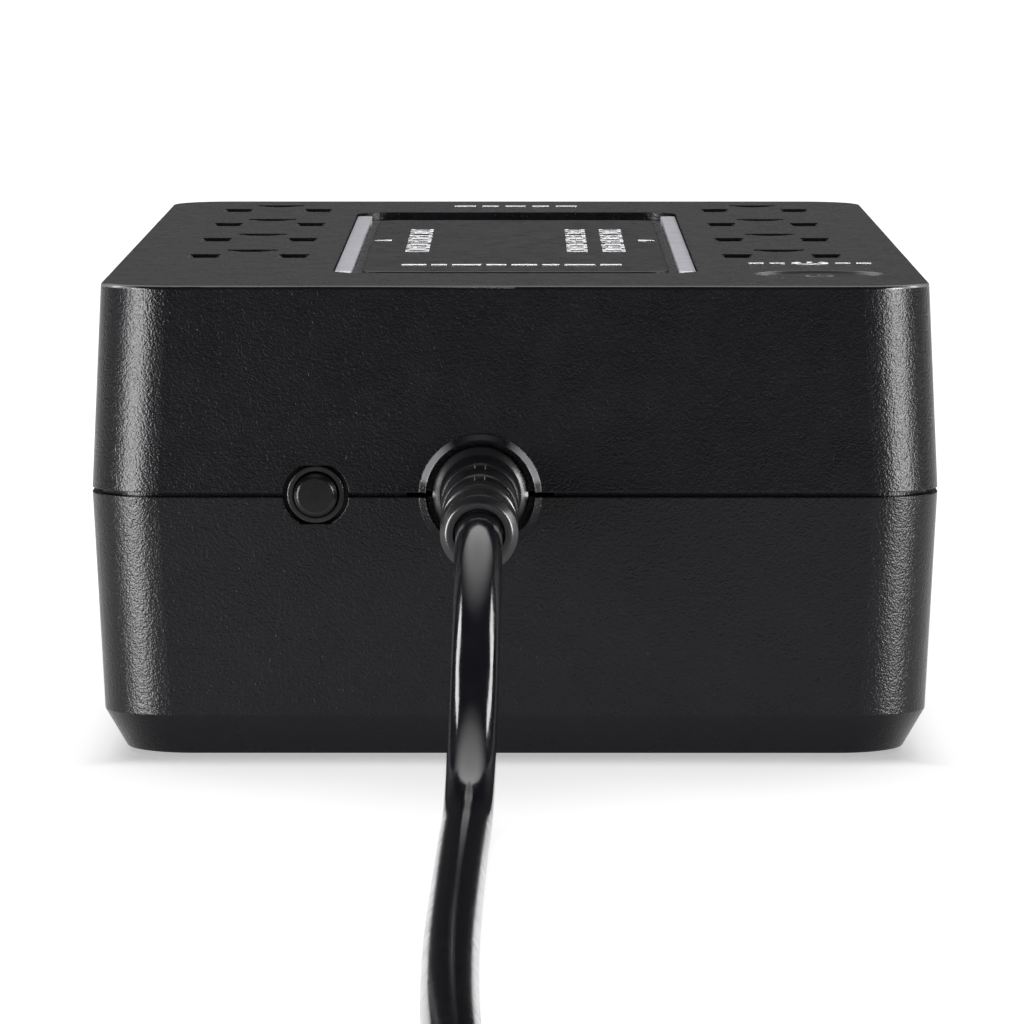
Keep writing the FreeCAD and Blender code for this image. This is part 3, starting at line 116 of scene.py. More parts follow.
# ---------------------------------------------------------------------------------------------
# Camera and light
# ---------------------------------------------------------------------------------------------
CAMERA_LENS = 233.96
CAMERA_PLACE = (0.0012, -0.9849, 0.1240)
CAMERA_DIP = math.radians(5.85)
CAMERA_TURN = math.radians(0.103)
CAMERA_FAR = 50

DOME_MIDDLE = (0, 0.53, 0.848)
DOME_EDGE, DOME_CORE = 0.72, 0.98  # cosines from the dome's middle
DOME_FLOOR_GLOW = 0.02
DOME_STRENGTH = 2.0
LIGHT_AIM = (0, -0.05, 0.04)
SOFTBOXES = {  # place, width and height, watts
    "left_softbox": ((-0.73, -0.66, 0.06), (0.42, 0.60), 24),
    "right_softbox": ((0.80, -0.56, 0.17), (0.40, 0.56), 22),
    "left_back_box": ((-0.79, 0.14, 0.47), (0.22, 0.30), 2.2),
    "right_back_box": ((0.79, 0.14, 0.47), (0.22, 0.30), 2.2),
}

TABLE_REACH = 12.0
TABLE_FADE = (-0.60, -0.36)  # along Y, from dark to white; the dark is painted shade for an unlit room in front
TABLE_DARK, TABLE_WHITE = 0.03, 0.92
TABLE_GLOW = 0.78
# The floor's glow dims towards the case's footprint: a painted contact shadow.
FOOTPRINT = (0.0500, 0.0985)  # half the width and length that the case shades
CONTACT_SHADE = 0.62
CONTACT_WIDTH = 0.010


def add_camera():
    data = bpy.data.cameras.new("camera")
    data.lens = CAMERA_LENS
    data.sensor_width = 36
    data.clip_end = CAMERA_FAR
    camera = bpy.data.objects.new("camera", data)
    camera.location = CAMERA_PLACE
    camera.rotation_euler = (math.radians(90) - CAMERA_DIP, 0, CAMERA_TURN)
    scene.collection.objects.link(camera)
    scene.camera = camera


def add_softbox(name, location, size, power, shaded):
    """A rectangular light, width by height, that leaves one object dark."""
    data = bpy.data.lights.new(name, "AREA")
    data.shape = "RECTANGLE"
    data.size, data.size_y = size
    data.energy = power
    light = bpy.data.objects.new(name, data)
    light.location = location
    ray = Vector(LIGHT_AIM) - Vector(location)
    light.rotation_euler = ray.to_track_quat("-Z", "Y").to_euler()
    scene.collection.objects.link(light)
    receivers = bpy.data.collections.new(name + "_receivers")
    receivers.objects.link(shaded)
    receivers.collection_objects[0].light_linking.link_state = "EXCLUDE"
    light.light_linking.receiver_collection = receivers
    light.light_linking.blocker_collection = receivers
    light.visible_camera = False


def add_studio(floor):
    """A soft dome leaning in from behind, with softboxes beside the corners."""
    world = bpy.data.worlds.new("studio")
    world.use_nodes = True
    nodes, links = world.node_tree.nodes, world.node_tree.links
    background = nodes["Background"]
    direction = nodes.new("ShaderNodeTexCoord")
    tilt = nodes.new("ShaderNodeVectorMath")
    tilt.operation = "DOT_PRODUCT"
    tilt.inputs[1].default_value = DOME_MIDDLE
    ramp = nodes.new("ShaderNodeValToRGB")
    links.new(direction.outputs["Generated"], tilt.inputs[0])
    links.new(tilt.outputs["Value"], ramp.inputs[0])
    links.new(ramp.outputs["Color"], background.inputs["Color"])
    ramp.color_ramp.interpolation = "EASE"
    stops = ((DOME_EDGE, DOME_FLOOR_GLOW), (DOME_CORE, 1))
    for stop, (position, level) in zip(ramp.color_ramp.elements, stops):
        stop.position = position
        stop.color = (level, level, level, 1)
    background.inputs["Strength"].default_value = DOME_STRENGTH
    scene.world = world
    for name, (place, size, power) in SOFTBOXES.items():
        add_softbox(name, place, size, power, floor)
    scene.view_settings.view_transform = "Standard"
    scene.view_settings.look = "None"


def add_floor():
    """A glowing white table, dimmed by a painted contact shadow close to the case and darkened by
    painted shade past the edge of the view.
    """
    mesh = bpy.data.meshes.new("floor")
    far = TABLE_REACH
    corners = [(-far, -far, 0), (far, -far, 0), (far, far, 0), (-far, far, 0)]
    mesh.from_pydata(corners, [], [(0, 1, 2, 3)])
    floor = bpy.data.objects.new("floor", mesh)
    scene.collection.objects.link(floor)
    material = bpy.data.materials.new("floor_paper")
    material.use_nodes = True
    tree = material.node_tree
    shader = tree.nodes["Principled BSDF"]
    place = tree.nodes.new("ShaderNodeTexCoord")
    axes = split_axes(tree, place.outputs["Object"])
    # painted shade: the table's colour and glow fade to dark in front, standing in for an unlit
    # room
    fade = remap(tree, axes["Y"], TABLE_FADE, (TABLE_DARK, TABLE_WHITE))
    # painted contact shadow: less glow within CONTACT_WIDTH of the case's footprint
    outside = [
        calculate(tree, "SUBTRACT", calculate(tree, "ABSOLUTE", axes[axis]), half)
        for axis, half in zip("XY", FOOTPRINT)
    ]
    away = calculate(tree, "MAXIMUM", *outside)
    contact = remap(tree, away, (0, CONTACT_WIDTH), (CONTACT_SHADE, 1), smooth=True)
    tree.links.new(fade, shader.inputs["Base Color"])
    tree.links.new(calculate(tree, "MULTIPLY", fade, contact), shader.inputs["Emission Strength"])
    shader.inputs["Emission Color"].default_value = (TABLE_GLOW, TABLE_GLOW, TABLE_GLOW, 1)
    shader.inputs["Roughness"].default_value = 1.0
    shader.inputs["Specular IOR Level"].default_value = 0.0
    mesh.materials.append(material)
    return floor


add_camera()
add_studio(add_floor())


# ---------------------------------------------------------------------------------------------
# Materials
# ---------------------------------------------------------------------------------------------
WALL_TO_SLOPE = (0.10, 0.22)  # upward share of a surface's direction
SLOPE_TO_TOP = (0.93, 0.985)
SIDEWAYS = (0.3, 0.55)  # sideways share of a surface's direction, for the painted highlight on side chamfers


class Finish:
    """A Principled material with helpers to wire grain, blotches and soft edges into it."""

    def __init__(self, name, color, roughness, metallic=0.0, specular=0.5):
        self.material = bpy.data.materials.new(name)
        self.material.use_nodes = True
        self.tree = self.material.node_tree
        self.nodes = self.tree.nodes
        self.links = self.tree.links
        self.shader = self.nodes["Principled BSDF"]
        self.color = color
        self.roughness = roughness
        self.set("Base Color", (*color, 1))
        self.set("Roughness", roughness)
        self.set("Metallic", metallic)
        self.set("Specular IOR Level", specular)
        place = self.nodes.new("ShaderNodeTexCoord")
        self.coordinates = place.outputs["Object"]
        self.facing = place.outputs["Normal"]
        self.normal = None
        self.textured = None

    def set(self, socket, value):
        self.shader.inputs[socket].default_value = value
        return self

    def feed(self, socket, value):
        self.links.new(value, self.shader.inputs[socket])
        return self

    def source(self, socket):
        """What feeds a socket of the shader now."""
        return self.shader.inputs[socket].links[0].from_socket

    def noise(self, size, detail=2.0, stretch=(1, 1, 1)):
        """Noise whose features are about size across, in metres."""
        mapping = self.nodes.new("ShaderNodeMapping")
        mapping.inputs["Scale"].default_value = stretch
        texture = self.nodes.new("ShaderNodeTexNoise")
        texture.inputs["Scale"].default_value = 1 / size
        texture.inputs["Detail"].default_value = detail
        self.links.new(self.coordinates, mapping.inputs["Vector"])
        self.links.new(mapping.outputs["Vector"], texture.inputs["Vector"])
        return texture.outputs["Fac"]

    def spread(self, value, low, high):
        """Noise, which stays near 0.5, spread from low to high."""
        return remap(self.tree, value, (0.3, 0.7), (low, high))

    def vary_color(self, size, amount, stretch=(1, 1, 1)):
        """Lighter and darker blotches of the base color."""
        darker = tuple(c * (1 - amount) for c in self.color)
        lighter = tuple(c * (1 + amount) for c in self.color)
        share = self.spread(self.noise(size, 3.0, stretch), 0, 1)
        return self.feed("Base Color", mix_colors(self.tree, share, darker, lighter))

    def vary_roughness(self, size, amount, stretch=(1, 1, 1)):
        low, high = self.roughness - amount, self.roughness + amount
        return self.feed("Roughness", self.spread(self.noise(size, 4.0, stretch), low, high))

    def polish_slopes(self, polished, matt_specular, polished_specular):
        """Leave the chamfers and rounds that face part way up smooth and without texture."""
        upward = split_axes(self.tree, self.facing)["Z"]
        wall = remap(self.tree, upward, WALL_TO_SLOPE, (1, 0), smooth=True)
        top = remap(self.tree, upward, SLOPE_TO_TOP, (0, 1), smooth=True)
        self.textured = calculate(self.tree, "MAXIMUM", wall, top)
        mix = self.nodes.new("ShaderNodeMix")
        self.links.new(self.textured, mix.inputs[0])
        mix.inputs[2].default_value = polished
        self.links.new(self.source("Roughness"), mix.inputs[3])
        self.feed("Roughness", mix.outputs[0])
        specular = (polished_specular, matt_specular)
        shine = remap(self.tree, self.textured, (0, 1), specular, smooth=True)
        return self.feed("Specular IOR Level", shine)

    def paint_side_chamfer_highlights(self, color):
        """Paint the small chamfers that face left and right paler, a painted highlight where they
        catch the light, after polish_slopes.
        """
        across = calculate(self.tree, "ABSOLUTE", split_axes(self.tree, self.facing)["X"])
        sideways = remap(self.tree, across, SIDEWAYS, (0, 1), smooth=True)
        sloping = remap(self.tree, self.textured, (0, 1), (1, 0), smooth=True)
        share = calculate(self.tree, "MULTIPLY", sideways, sloping)
        paler = mix_colors(self.tree, share, self.source("Base Color"), color)
        return self.feed("Base Color", paler)

    def bump(self, height, distance, strength=1.0):
        """Add relief from a 0 to 1 height, distance metres deep."""
        bump = self.nodes.new("ShaderNodeBump")
        bump.inputs["Strength"].default_value = strength
        if self.textured:
            depth = remap(self.tree, self.textured, (0, 1), (0, strength), smooth=True)
            self.links.new(depth, bump.inputs["Strength"])
        bump.inputs["Distance"].default_value = distance
        self.links.new(height, bump.inputs["Height"])
        if self.normal:
            self.links.new(self.normal, bump.inputs["Normal"])
        self.normal = bump.outputs["Normal"]
        return self.feed("Normal", self.normal)

    def soft_edges(self, radius):
        """Edges that catch light as if rounded to a radius."""
        bevel = self.nodes.new("ShaderNodeBevel")
        bevel.samples = 6
        bevel.inputs["Radius"].default_value = radius
        self.normal = bevel.outputs["Normal"]
        return self.feed("Normal", self.normal)

    def grain(self, size, depth, strength=1.0):
        return self.bump(self.noise(size, 1.5), depth, strength)


def case_plastic(name, color=(0.0015, 0.0015, 0.0021)):
    """Fine-grained moulded case plastic."""
    finish = Finish(name, color, 0.28).soft_edges(0.25 * MM)
    finish.vary_color(9 * MM, 0.10).vary_roughness(4 * MM, 0.02).polish_slopes(0.18, 0.22, 0.5)
    # painted highlight: a paler base colour on the side chamfers, such as the slots' lead-ins
    finish.paint_side_chamfer_highlights((0.085, 0.085, 0.09))
    finish.grain(0.50 * MM, 0.06 * MM, 0.8)
    finish.grain(0.26 * MM, 0.07 * MM, 1.0)
    return finish.material


def smooth_plastic(name, color, roughness, edge=0.15, specular=0.5):
    finish = Finish(name, color, roughness, specular=specular).soft_edges(edge * MM)
    finish.vary_color(6 * MM, 0.08).vary_roughness(2.5 * MM, 0.04)
    finish.grain(0.35 * MM, 0.012 * MM, 0.4)
    return finish.material


def trim_plastic(name):
    """Bright satin plastic, moulded smooth."""
    finish = Finish(name, (0.58, 0.58, 0.63), 0.24, specular=0.6).soft_edges(0.15 * MM)
    finish.vary_color(8 * MM, 0.04).vary_roughness(3 * MM, 0.03)
    return finish.material


def rubber(name, color, roughness=0.7):
    finish = Finish(name, color, roughness, specular=0.35).soft_edges(0.2 * MM)
    finish.vary_color(3 * MM, 0.15).vary_roughness(1.5 * MM, 0.06)
    finish.grain(0.3 * MM, 0.03 * MM, 0.6)
    return finish.material


def metal(name, color, roughness, brush=(1, 1, 1), edge=0.1):
    finish = Finish(name, color, roughness, metallic=1.0).soft_edges(edge * MM)
    finish.vary_color(4 * MM, 0.06).vary_roughness(1.2 * MM, 0.06, brush)
    finish.bump(finish.noise(0.4 * MM, 3.0, brush), 0.006 * MM, 0.5)
    return finish.material


def cord_vinyl(name, color=(0.002, 0.002, 0.003)):
    """Smooth extruded vinyl with the faint waviness of a real jacket."""
    finish = Finish(name, color, 0.13, specular=0.55)
    finish.vary_color(5 * MM, 0.12).vary_roughness(3 * MM, 0.04)
    finish.grain(4 * MM, 0.10 * MM, 0.2)
    finish.grain(0.5 * MM, 0.01 * MM, 0.3)
    return finish.material


def circuit_board(name):
    finish = Finish(name, (0.02, 0.13, 0.05), 0.35).soft_edges(0.1 * MM)
    finish.vary_color(2 * MM, 0.5, (1, 0.2, 1)).vary_roughness(2 * MM, 0.08)
    finish.grain(1.2 * MM, 0.02 * MM, 0.4)
    return finish.material


def winding(name):
    finish = Finish(name, (0.42, 0.16, 0.05), 0.35, metallic=0.6)
    finish.vary_color(0.8 * MM, 0.3, (0.1, 6, 6))
    finish.bump(finish.noise(0.6 * MM, 2.0, (0.05, 1, 1)), 0.2 * MM, 0.8)
    return finish.material


def clear_glass(name, color):
    finish = Finish(name, color, 0.08)
    finish.set("Transmission Weight", 0.6).set("IOR", 1.5)
    finish.vary_roughness(3 * MM, 0.03)
    return finish.material


def print_ink(name):
    """Printed ink: thin, even and slightly worn."""
    finish = Finish(name, (0.78, 0.78, 0.80), 0.6, specular=0.3)
    finish.vary_color(0.7 * MM, 0.10).vary_roughness(1 * MM, 0.05)
    return finish.material


MATERIALS = {
    "upper_case": case_plastic("case_upper"),
    "lower_case": case_plastic("case_lower"),
    "centre_panel": smooth_plastic("panel_plastic", (0.002, 0.002, 0.0026), 0.30, 0.2, 0.24),
    "trim_strip": trim_plastic("trim_plastic"),
    "rubber_feet": rubber("foot_rubber", (0.012, 0.012, 0.012)),
    "screws": metal("zinc_steel", (0.55, 0.55, 0.58), 0.35),
    "outlet_block": smooth_plastic("outlet_block_plastic", (0.012, 0.012, 0.012), 0.55),
    "strip": metal("contact_brass", (0.78, 0.60, 0.30), 0.28, (1, 0.05, 1)),
    "board": circuit_board("solder_mask"),
    "ferrite": smooth_plastic("ferrite", (0.03, 0.03, 0.034), 0.55),
    "winding": winding("enamelled_wire"),
    "relay": smooth_plastic("relay_case", (0.01, 0.03, 0.12), 0.3),
    "capacitor": smooth_plastic("capacitor_sleeve", (0.012, 0.012, 0.02), 0.25),
    "heat_sink": metal("extruded_aluminium", (0.72, 0.72, 0.74), 0.3, (1, 1, 0.05)),
    "black_part": smooth_plastic("black_moulding", (0.012, 0.012, 0.012), 0.45),
    "varistor": smooth_plastic("varistor_coat", (0.02, 0.09, 0.3), 0.25),
    "choke": smooth_plastic("choke_coat", (0.30, 0.22, 0.04), 0.4),
    "fuse": clear_glass("fuse_glass", (0.85, 0.88, 0.9)),
    "lamp": clear_glass("lamp_lens", (0.3, 0.9, 0.4)),
    "battery": smooth_plastic("battery_case", (0.035, 0.035, 0.04), 0.4),
    "foam": rubber("foam_pad", (0.03, 0.03, 0.03), 0.95),
    "tin": metal("tinned_copper", (0.72, 0.72, 0.74), 0.25),
    "nickel": metal("nickel_plate", (0.62, 0.60, 0.55), 0.24, (1, 0.1, 1)),
    "breaker": smooth_plastic("breaker_moulding", (0.012, 0.012, 0.012), 0.5),
    "bushing": smooth_plastic("bushing_plastic", (0.002, 0.002, 0.0025), 0.24, 0.25),
    "reset_button": smooth_plastic("reset_plastic", (0.001, 0.001, 0.0012), 0.22, 0.35, 0.4),
    "button": smooth_plastic("button_plastic", (0.002, 0.002, 0.0026), 0.30, 0.2, 0.24),
    "relief": smooth_plastic("relief_vinyl", (0.0025, 0.0025, 0.003), 0.28, 0.12),
    "plug": smooth_plastic("plug_vinyl", (0.004, 0.004, 0.0045), 0.30, 0.3),
    "cord": cord_vinyl("cord_vinyl"),
    "wire_black": cord_vinyl("black_wire", (0.012, 0.012, 0.012)),
    "wire_white": cord_vinyl("white_wire", (0.7, 0.7, 0.68)),
    "wire_green": cord_vinyl("green_wire", (0.03, 0.25, 0.06)),
    "wire_red": cord_vinyl("red_wire", (0.45, 0.02, 0.015)),
    "ink": print_ink("white_print"),
    "dim_ink": smooth_plastic("faint_print", (0.10, 0.10, 0.11), 0.4),
    "tie": rubber("tie_vinyl", (0.02, 0.02, 0.022), 0.5),
}

NODES_BY_LOOK = {
    "upper_case": ["upper_case"],
    "lower_case": ["lower_case"],
    "centre_panel": ["centre_panel"],
    "trim_strip": ["left_trim_strip", "right_trim_strip"],
    "rubber_feet": ["rubber_feet"],
    "screws": ["case_screws", "board_screws", "outlet_block_screws"],
    "black_part": ["switch_plunger", "power_switch", "power_transistors", "buzzer"],
    "board": ["switch_board", "main_board"],
    "lamp": ["status_light"],
    "ferrite": ["transformer_core"],
    "winding": ["transformer_winding"],
    "relay": ["transfer_relays"],
    "capacitor": ["bulk_capacitors"],
    "heat_sink": ["heat_sink"],
    "varistor": ["surge_varistors"],
    "choke": ["filter_choke"],
    "fuse": ["fuse_link"],
    "battery": ["battery"],
    "foam": ["battery_pad"],
    "tin": ["battery_terminals", "breaker_tabs"],
    "breaker": ["breaker_body"],
    "bushing": ["breaker_bushing"],
    "reset_button": ["breaker_button"],
    "button": ["power_button"],
    "nickel": ["plug_neutral_blade", "plug_line_blade", "plug_ground_pin"],
    "wire_black": ["line_wire", "battery_negative_lead"],
    "wire_white": ["neutral_wire"],
    "wire_green": ["ground_wire"],
    "wire_red": ["battery_positive_lead"],
    "outlet_block": ["left_outlet_block", "right_outlet_block"],
    "strip": [
        f"{side}_{pole}_strip"
        for side in ("left", "right")
        for pole in ("neutral", "line", "ground")
    ],
}


def finish_cad_nodes():
    for look, names in NODES_BY_LOOK.items():
        for name in names:
            slots = NODES[name].material_slots
            for slot in slots:
                slot.material = MATERIALS[look]
            if not slots:
                NODES[name].data.materials.append(MATERIALS[look])


def round_trims():
    """Domed edges on the bright trims."""
    for name in ("left_trim_strip", "right_trim_strip"):
        rounding = NODES[name].modifiers.new("rounding", "BEVEL")
        rounding.width = 0.45 * MM
        rounding.segments = 4
        rounding.limit_method = "ANGLE"
        rounding.angle_limit = math.radians(50)


finish_cad_nodes()
round_trims()


# ---------------------------------------------------------------------------------------------
# Mesh helpers
# ---------------------------------------------------------------------------------------------
def new_piece(name, mesh, look, body, smooth=True):
    piece = bpy.data.objects.new(name, mesh)
    scene.collection.objects.link(piece)
    mesh.materials.append(MATERIALS[look])
    if smooth:
        mesh.shade_smooth()
    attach(piece, body)
    return piece


def grid_mesh(name, rows, close_rows=False, cap_ends=True):
    """A mesh through rows of points, each row a closed ring."""
    mesh = bpy.data.meshes.new(name)
    count = len(rows[0])
    points = [point for row in rows for point in row]
    faces = []
    steps = len(rows) if close_rows else len(rows) - 1
    for row in range(steps):
        here, there = row * count, (row + 1) % len(rows) * count
        for i in range(count):
            j = (i + 1) % count
            faces.append((here + i, here + j, there + j, there + i))
    if cap_ends and not close_rows:
        faces.append(tuple(reversed(range(count))))
        faces.append(tuple(range(len(points) - count, len(points))))
    mesh.from_pydata(points, [], faces)
    tidy = bmesh.new()
    tidy.from_mesh(mesh)
    bmesh.ops.recalc_face_normals(tidy, faces=tidy.faces)
    tidy.to_mesh(mesh)
    tidy.free()
    return mesh


def shade_by_angle(piece, degrees):
    """Smooth shading with edges sharper than an angle left crisp."""
    mesh = piece.data
    mesh.shade_smooth()
    mesh.set_sharp_from_angle(angle=math.radians(degrees))


def turns_of(count):
    """Angles evenly round a circle."""
    return [2 * math.pi * i / count for i in range(count)]


def signed_power(value, power):
    return math.copysign(abs(value) ** power, value)


# ---------------------------------------------------------------------------------------------
# Mains cord: strain relief, cord, coil, tie and plug
# ---------------------------------------------------------------------------------------------
FLANGE_FACE = FRONT + 0.5 * MM
DROOP = math.radians(5)
BOOT_LENGTH = 28 * MM
CORD_EXIT = Vector((
    CORD_X,
    FLANGE_FACE - BOOT_LENGTH * math.cos(DROOP),
    SEAM - BOOT_LENGTH * math.sin(DROOP),
))
STRAIGHT_OUT = 14 * MM
COIL_MIDDLE = ((COIL_LOW[0] + COIL_HIGH[0]) / 2, (COIL_LOW[1] + COIL_HIGH[1]) / 2)
COIL_OUTER = 44.6 * MM
COIL_TURNS = 5
TURN_SPACING = 6.4 * MM
POINTS_PER_TURN = 16
LOW_LAYER = CORD_RADIUS
HIGH_LAYER = LOW_LAYER + TURN_SPACING
PLUG_X = COIL_MIDDLE[0] + COIL_OUTER
PLUG_BACK = PLUG_HIGH[1]
PLUG_MIDDLE = (PLUG_LOW[2] + PLUG_HIGH[2]) / 2


def coil_points():
    """Control points of turns that spiral in on the floor, climb, and spiral out on top."""
    middle_turn = COIL_TURNS / 2
    to_tangent = 1 / math.cos(math.pi / POINTS_PER_TURN)
    points = []
    for step in range(COIL_TURNS * POINTS_PER_TURN):
        turn = (step + 0.5) / POINTS_PER_TURN
        inward = min(turn, COIL_TURNS - turn)
        radius = (COIL_OUTER - TURN_SPACING * inward) * to_tangent
        climb = min(max(turn - middle_turn + 0.5, 0), 1)
        climb = climb * climb * (3 - 2 * climb)
        angle = -2 * math.pi * turn
        points.append((
            COIL_MIDDLE[0] + radius * math.cos(angle),
            COIL_MIDDLE[1] + radius * math.sin(angle),
            LOW_LAYER + (HIGH_LAYER - LOW_LAYER) * climb,
        ))
    return points


def cord_points():
    """Out of the strain relief, down to the floor, out to the coil, round it and to the plug."""
    ahead = CORD_EXIT + Vector((0, -math.cos(DROOP), -math.sin(DROOP))) * STRAIGHT_OUT
    floor = [
        (-5.5, -165.0, 3.1),
        (-6.1, -200.0, 3.1),
        (-6.5, -236.0, 3.1),
        (-6.8, -276.0, 3.1),
        (-6.2, -324.8, 3.1),
        (-3.6, -378.8, 3.1),
    ]
    lead = [
        (PLUG_X + 0.8 * MM, PLUG_BACK + 26 * MM, HIGH_LAYER - 0.6 * MM),
        (PLUG_X, PLUG_BACK + 13 * MM, PLUG_MIDDLE),
        (PLUG_X, PLUG_BACK, PLUG_MIDDLE),
    ]
    return [
        CORD_EXIT,
        ahead,
        *(Vector(point) * MM for point in floor),
        *coil_points(),
        *lead,
    ]


def add_cord():
    points = cord_points()
    data = bpy.data.curves.new("mains_cord", "CURVE")
    data.dimensions = "3D"
    data.bevel_depth = CORD_RADIUS
    data.bevel_resolution = 8
    data.use_fill_caps = True
    data.resolution_u = 8
    spline = data.splines.new("NURBS")
    spline.points.add(len(points) - 1)
    for control, point in zip(spline.points, points):
        control.co = (*point, 1)
    spline.order_u = 3
    spline.use_endpoint_u = True
    cord = bpy.data.objects.new("mains_cord", data)
    scene.collection.objects.link(cord)
    data.materials.append(MATERIALS["cord"])
    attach(cord, "case")
    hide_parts("cord_tube", "cord_coil", "plug_lead")
    return cord


BOOT_SEAT, BOOT_CORE = 4.4, 3.9  # radii in millimetres, like the rest of the boot's sizes
BOOT_WEB_HALF, BOOT_WEB_RADIUS = 0.75, 5.0
BOOT_RIBS = 24.6
BOOT_STRAIGHT = 1.3  # the flange stays square to the wall up to here
WEB_EDGE = 0.02
STEPS_BETWEEN_WEBS = 40


def boot_profile():
    """(distance from the wall, radius, groove kind) along the strain relief, in millimetres."""
    rows = [(-5.2, BOOT_SEAT, ""), (0.0, BOOT_SEAT, ""), (0.0, 6.2, ""), (0.1, 6.36, "")]
    rows += [(0.25, 6.4, ""), (0.35, 6.37, ""), (0.95, 5.45, ""), (1.05, 5.35, "")]
    rows += [(1.25, 5.3, ""), (1.5, 5.27, "")]

    def shell(distance):
        return 5.3 - 0.5 * distance / BOOT_RIBS

    groove_width = 3.2
    for start in (5.2, 12.6):
        stop = start + groove_width
        rows += [(start - 0.25, shell(start), ""), (start, shell(start) - 0.15, "")]
        rows += [(start + 0.02, BOOT_CORE, "split"), (stop - 0.02, BOOT_CORE, "split")]
        rows += [(stop, shell(stop) - 0.15, ""), (stop + 0.25, shell(stop), "")]
    rows += [(19.0, shell(19.0), ""), (19.2, 4.7, "")]
    rows += [(19.25, BOOT_CORE, "ring"), (22.1, BOOT_CORE, "ring")]
    rows += [(22.15, 4.8, ""), (22.3, 5.0, ""), (22.5, 5.08, ""), (27.2, 5.08, "")]
    rows += [(27.85, 4.45, ""), (27.97, 4.3, ""), (28.0, 4.1, "")]
    rows += [(27.95, 3.4, ""), (27.6, 3.15, "")]
    return rows


def is_web(angle):
    """Whether an angle is on a web, which the boot has above and below, between its grooves."""
    return abs(math.cos(angle)) * BOOT_WEB_RADIUS < BOOT_WEB_HALF


def boot_angles():
    """Angles round the boot, close together at the webs' edges."""
    angles = []
    web = math.asin(BOOT_WEB_HALF / BOOT_WEB_RADIUS)
    for quarter in (math.pi / 2, 3 * math.pi / 2):
        for step in (-web - WEB_EDGE, -web + WEB_EDGE, 0.0, web - WEB_EDGE, web + WEB_EDGE):
            angles.append(quarter + step)
        start = quarter + web + WEB_EDGE
        stop = quarter + math.pi - web - WEB_EDGE
        for i in range(1, STEPS_BETWEEN_WEBS):
            angles.append(start + (stop - start) * i / STEPS_BETWEEN_WEBS)
    return angles


def add_strain_relief():
    """A ribbed boot: grooves split by a web above and below, then a smooth end collar."""
    square = Matrix.Rotation(math.radians(90), 4, "X")
    drooping = Matrix.Rotation(math.radians(90) + DROOP, 4, "X")
    middle = Vector((CORD_X, FLANGE_FACE, SEAM))
    angles = boot_angles()
    rows = []
    for distance, radius, kind in boot_profile():
        turn = drooping if distance > BOOT_STRAIGHT else square
        row = []
        for angle in angles:
            reach = radius
            if kind == "split" and is_web(angle):
                reach = 5.1 - 0.5 * distance / BOOT_RIBS
            local = Vector((reach * math.cos(angle), -reach * math.sin(angle), distance)) * MM
            row.append(middle + turn @ local)
        rows.append(row)
    mesh = grid_mesh("strain_relief_boot", rows)
    boot = new_piece("strain_relief_boot", mesh, "relief", "case", smooth=False)
    shade_by_angle(boot, 40)
    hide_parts("strain_relief")
    return boot


PLUG_BOOT_LENGTH = 18 * MM
PLUG_BOOT_RIBS = 6
PLUG_BOOT_END = 3.2 * MM
PLUG_SQUARENESS = 4.5
PLUG_STATIONS = [  # share of the block's length from its face, share of its full size
    (0.0, 0.92), (0.02, 0.97), (0.06, 1.0), (0.30, 1.0), (0.36, 0.985), (0.42, 0.93),
    (0.50, 0.86), (0.62, 0.80), (0.76, 0.76), (0.88, 0.70), (0.96, 0.60), (1.0, 0.50),
]


def superellipse(y, half_width, half_height, power):
    """A ring round the plug's axis, squarer as power grows."""
    points = []
    for angle in turns_of(72):
        x = half_width * signed_power(math.cos(angle), 2 / power)
        z = half_height * signed_power(math.sin(angle), 2 / power)
        points.append((PLUG_X + x, y, PLUG_MIDDLE + z))
    return points


def add_plug():
    """A moulded plug body with a grip, tapering into a ribbed boot."""
    block_back = PLUG_BACK - PLUG_BOOT_LENGTH
    face = PLUG_LOW[1]
    half_width = (PLUG_HIGH[0] - PLUG_LOW[0]) / 2
    half_height = (PLUG_HIGH[2] - PLUG_LOW[2]) / 2
    rows = []
    for share, size in PLUG_STATIONS:
        y = face + (block_back - face) * share
        rows.append(superellipse(y, half_width * size, half_height * size, PLUG_SQUARENESS))
    rib = (PLUG_BACK - block_back) / PLUG_BOOT_RIBS
    for number in range(PLUG_BOOT_RIBS):
        start = block_back + rib * number
        thick = (6.4 - 0.42 * number) * MM
        thin = thick - 0.9 * MM
        steps = ((0.08, thin), (0.34, thin), (0.42, thick), (0.92, thick), (0.98, thin))
        for share, reach in steps:
            rows.append(superellipse(start + rib * share, reach, reach, 2.0))
    rows.append(superellipse(PLUG_BACK, PLUG_BOOT_END, PLUG_BOOT_END, 2.0))
    mesh = grid_mesh("plug_shell", rows)
    shell = new_piece("plug_shell", mesh, "plug", "case", smooth=False)
    shade_by_angle(shell, 35)
    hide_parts("plug_body")
    return shell


TIE_ANGLE = math.radians(200)  # round the coil, from its right-hand side
TIE_HALF_BAND = 4 * MM
TIE_SOFT_EDGE = 0.3 * MM
TIE_THICKNESS = 0.55 * MM
TIE_EDGE_THICKNESS = 0.15 * MM


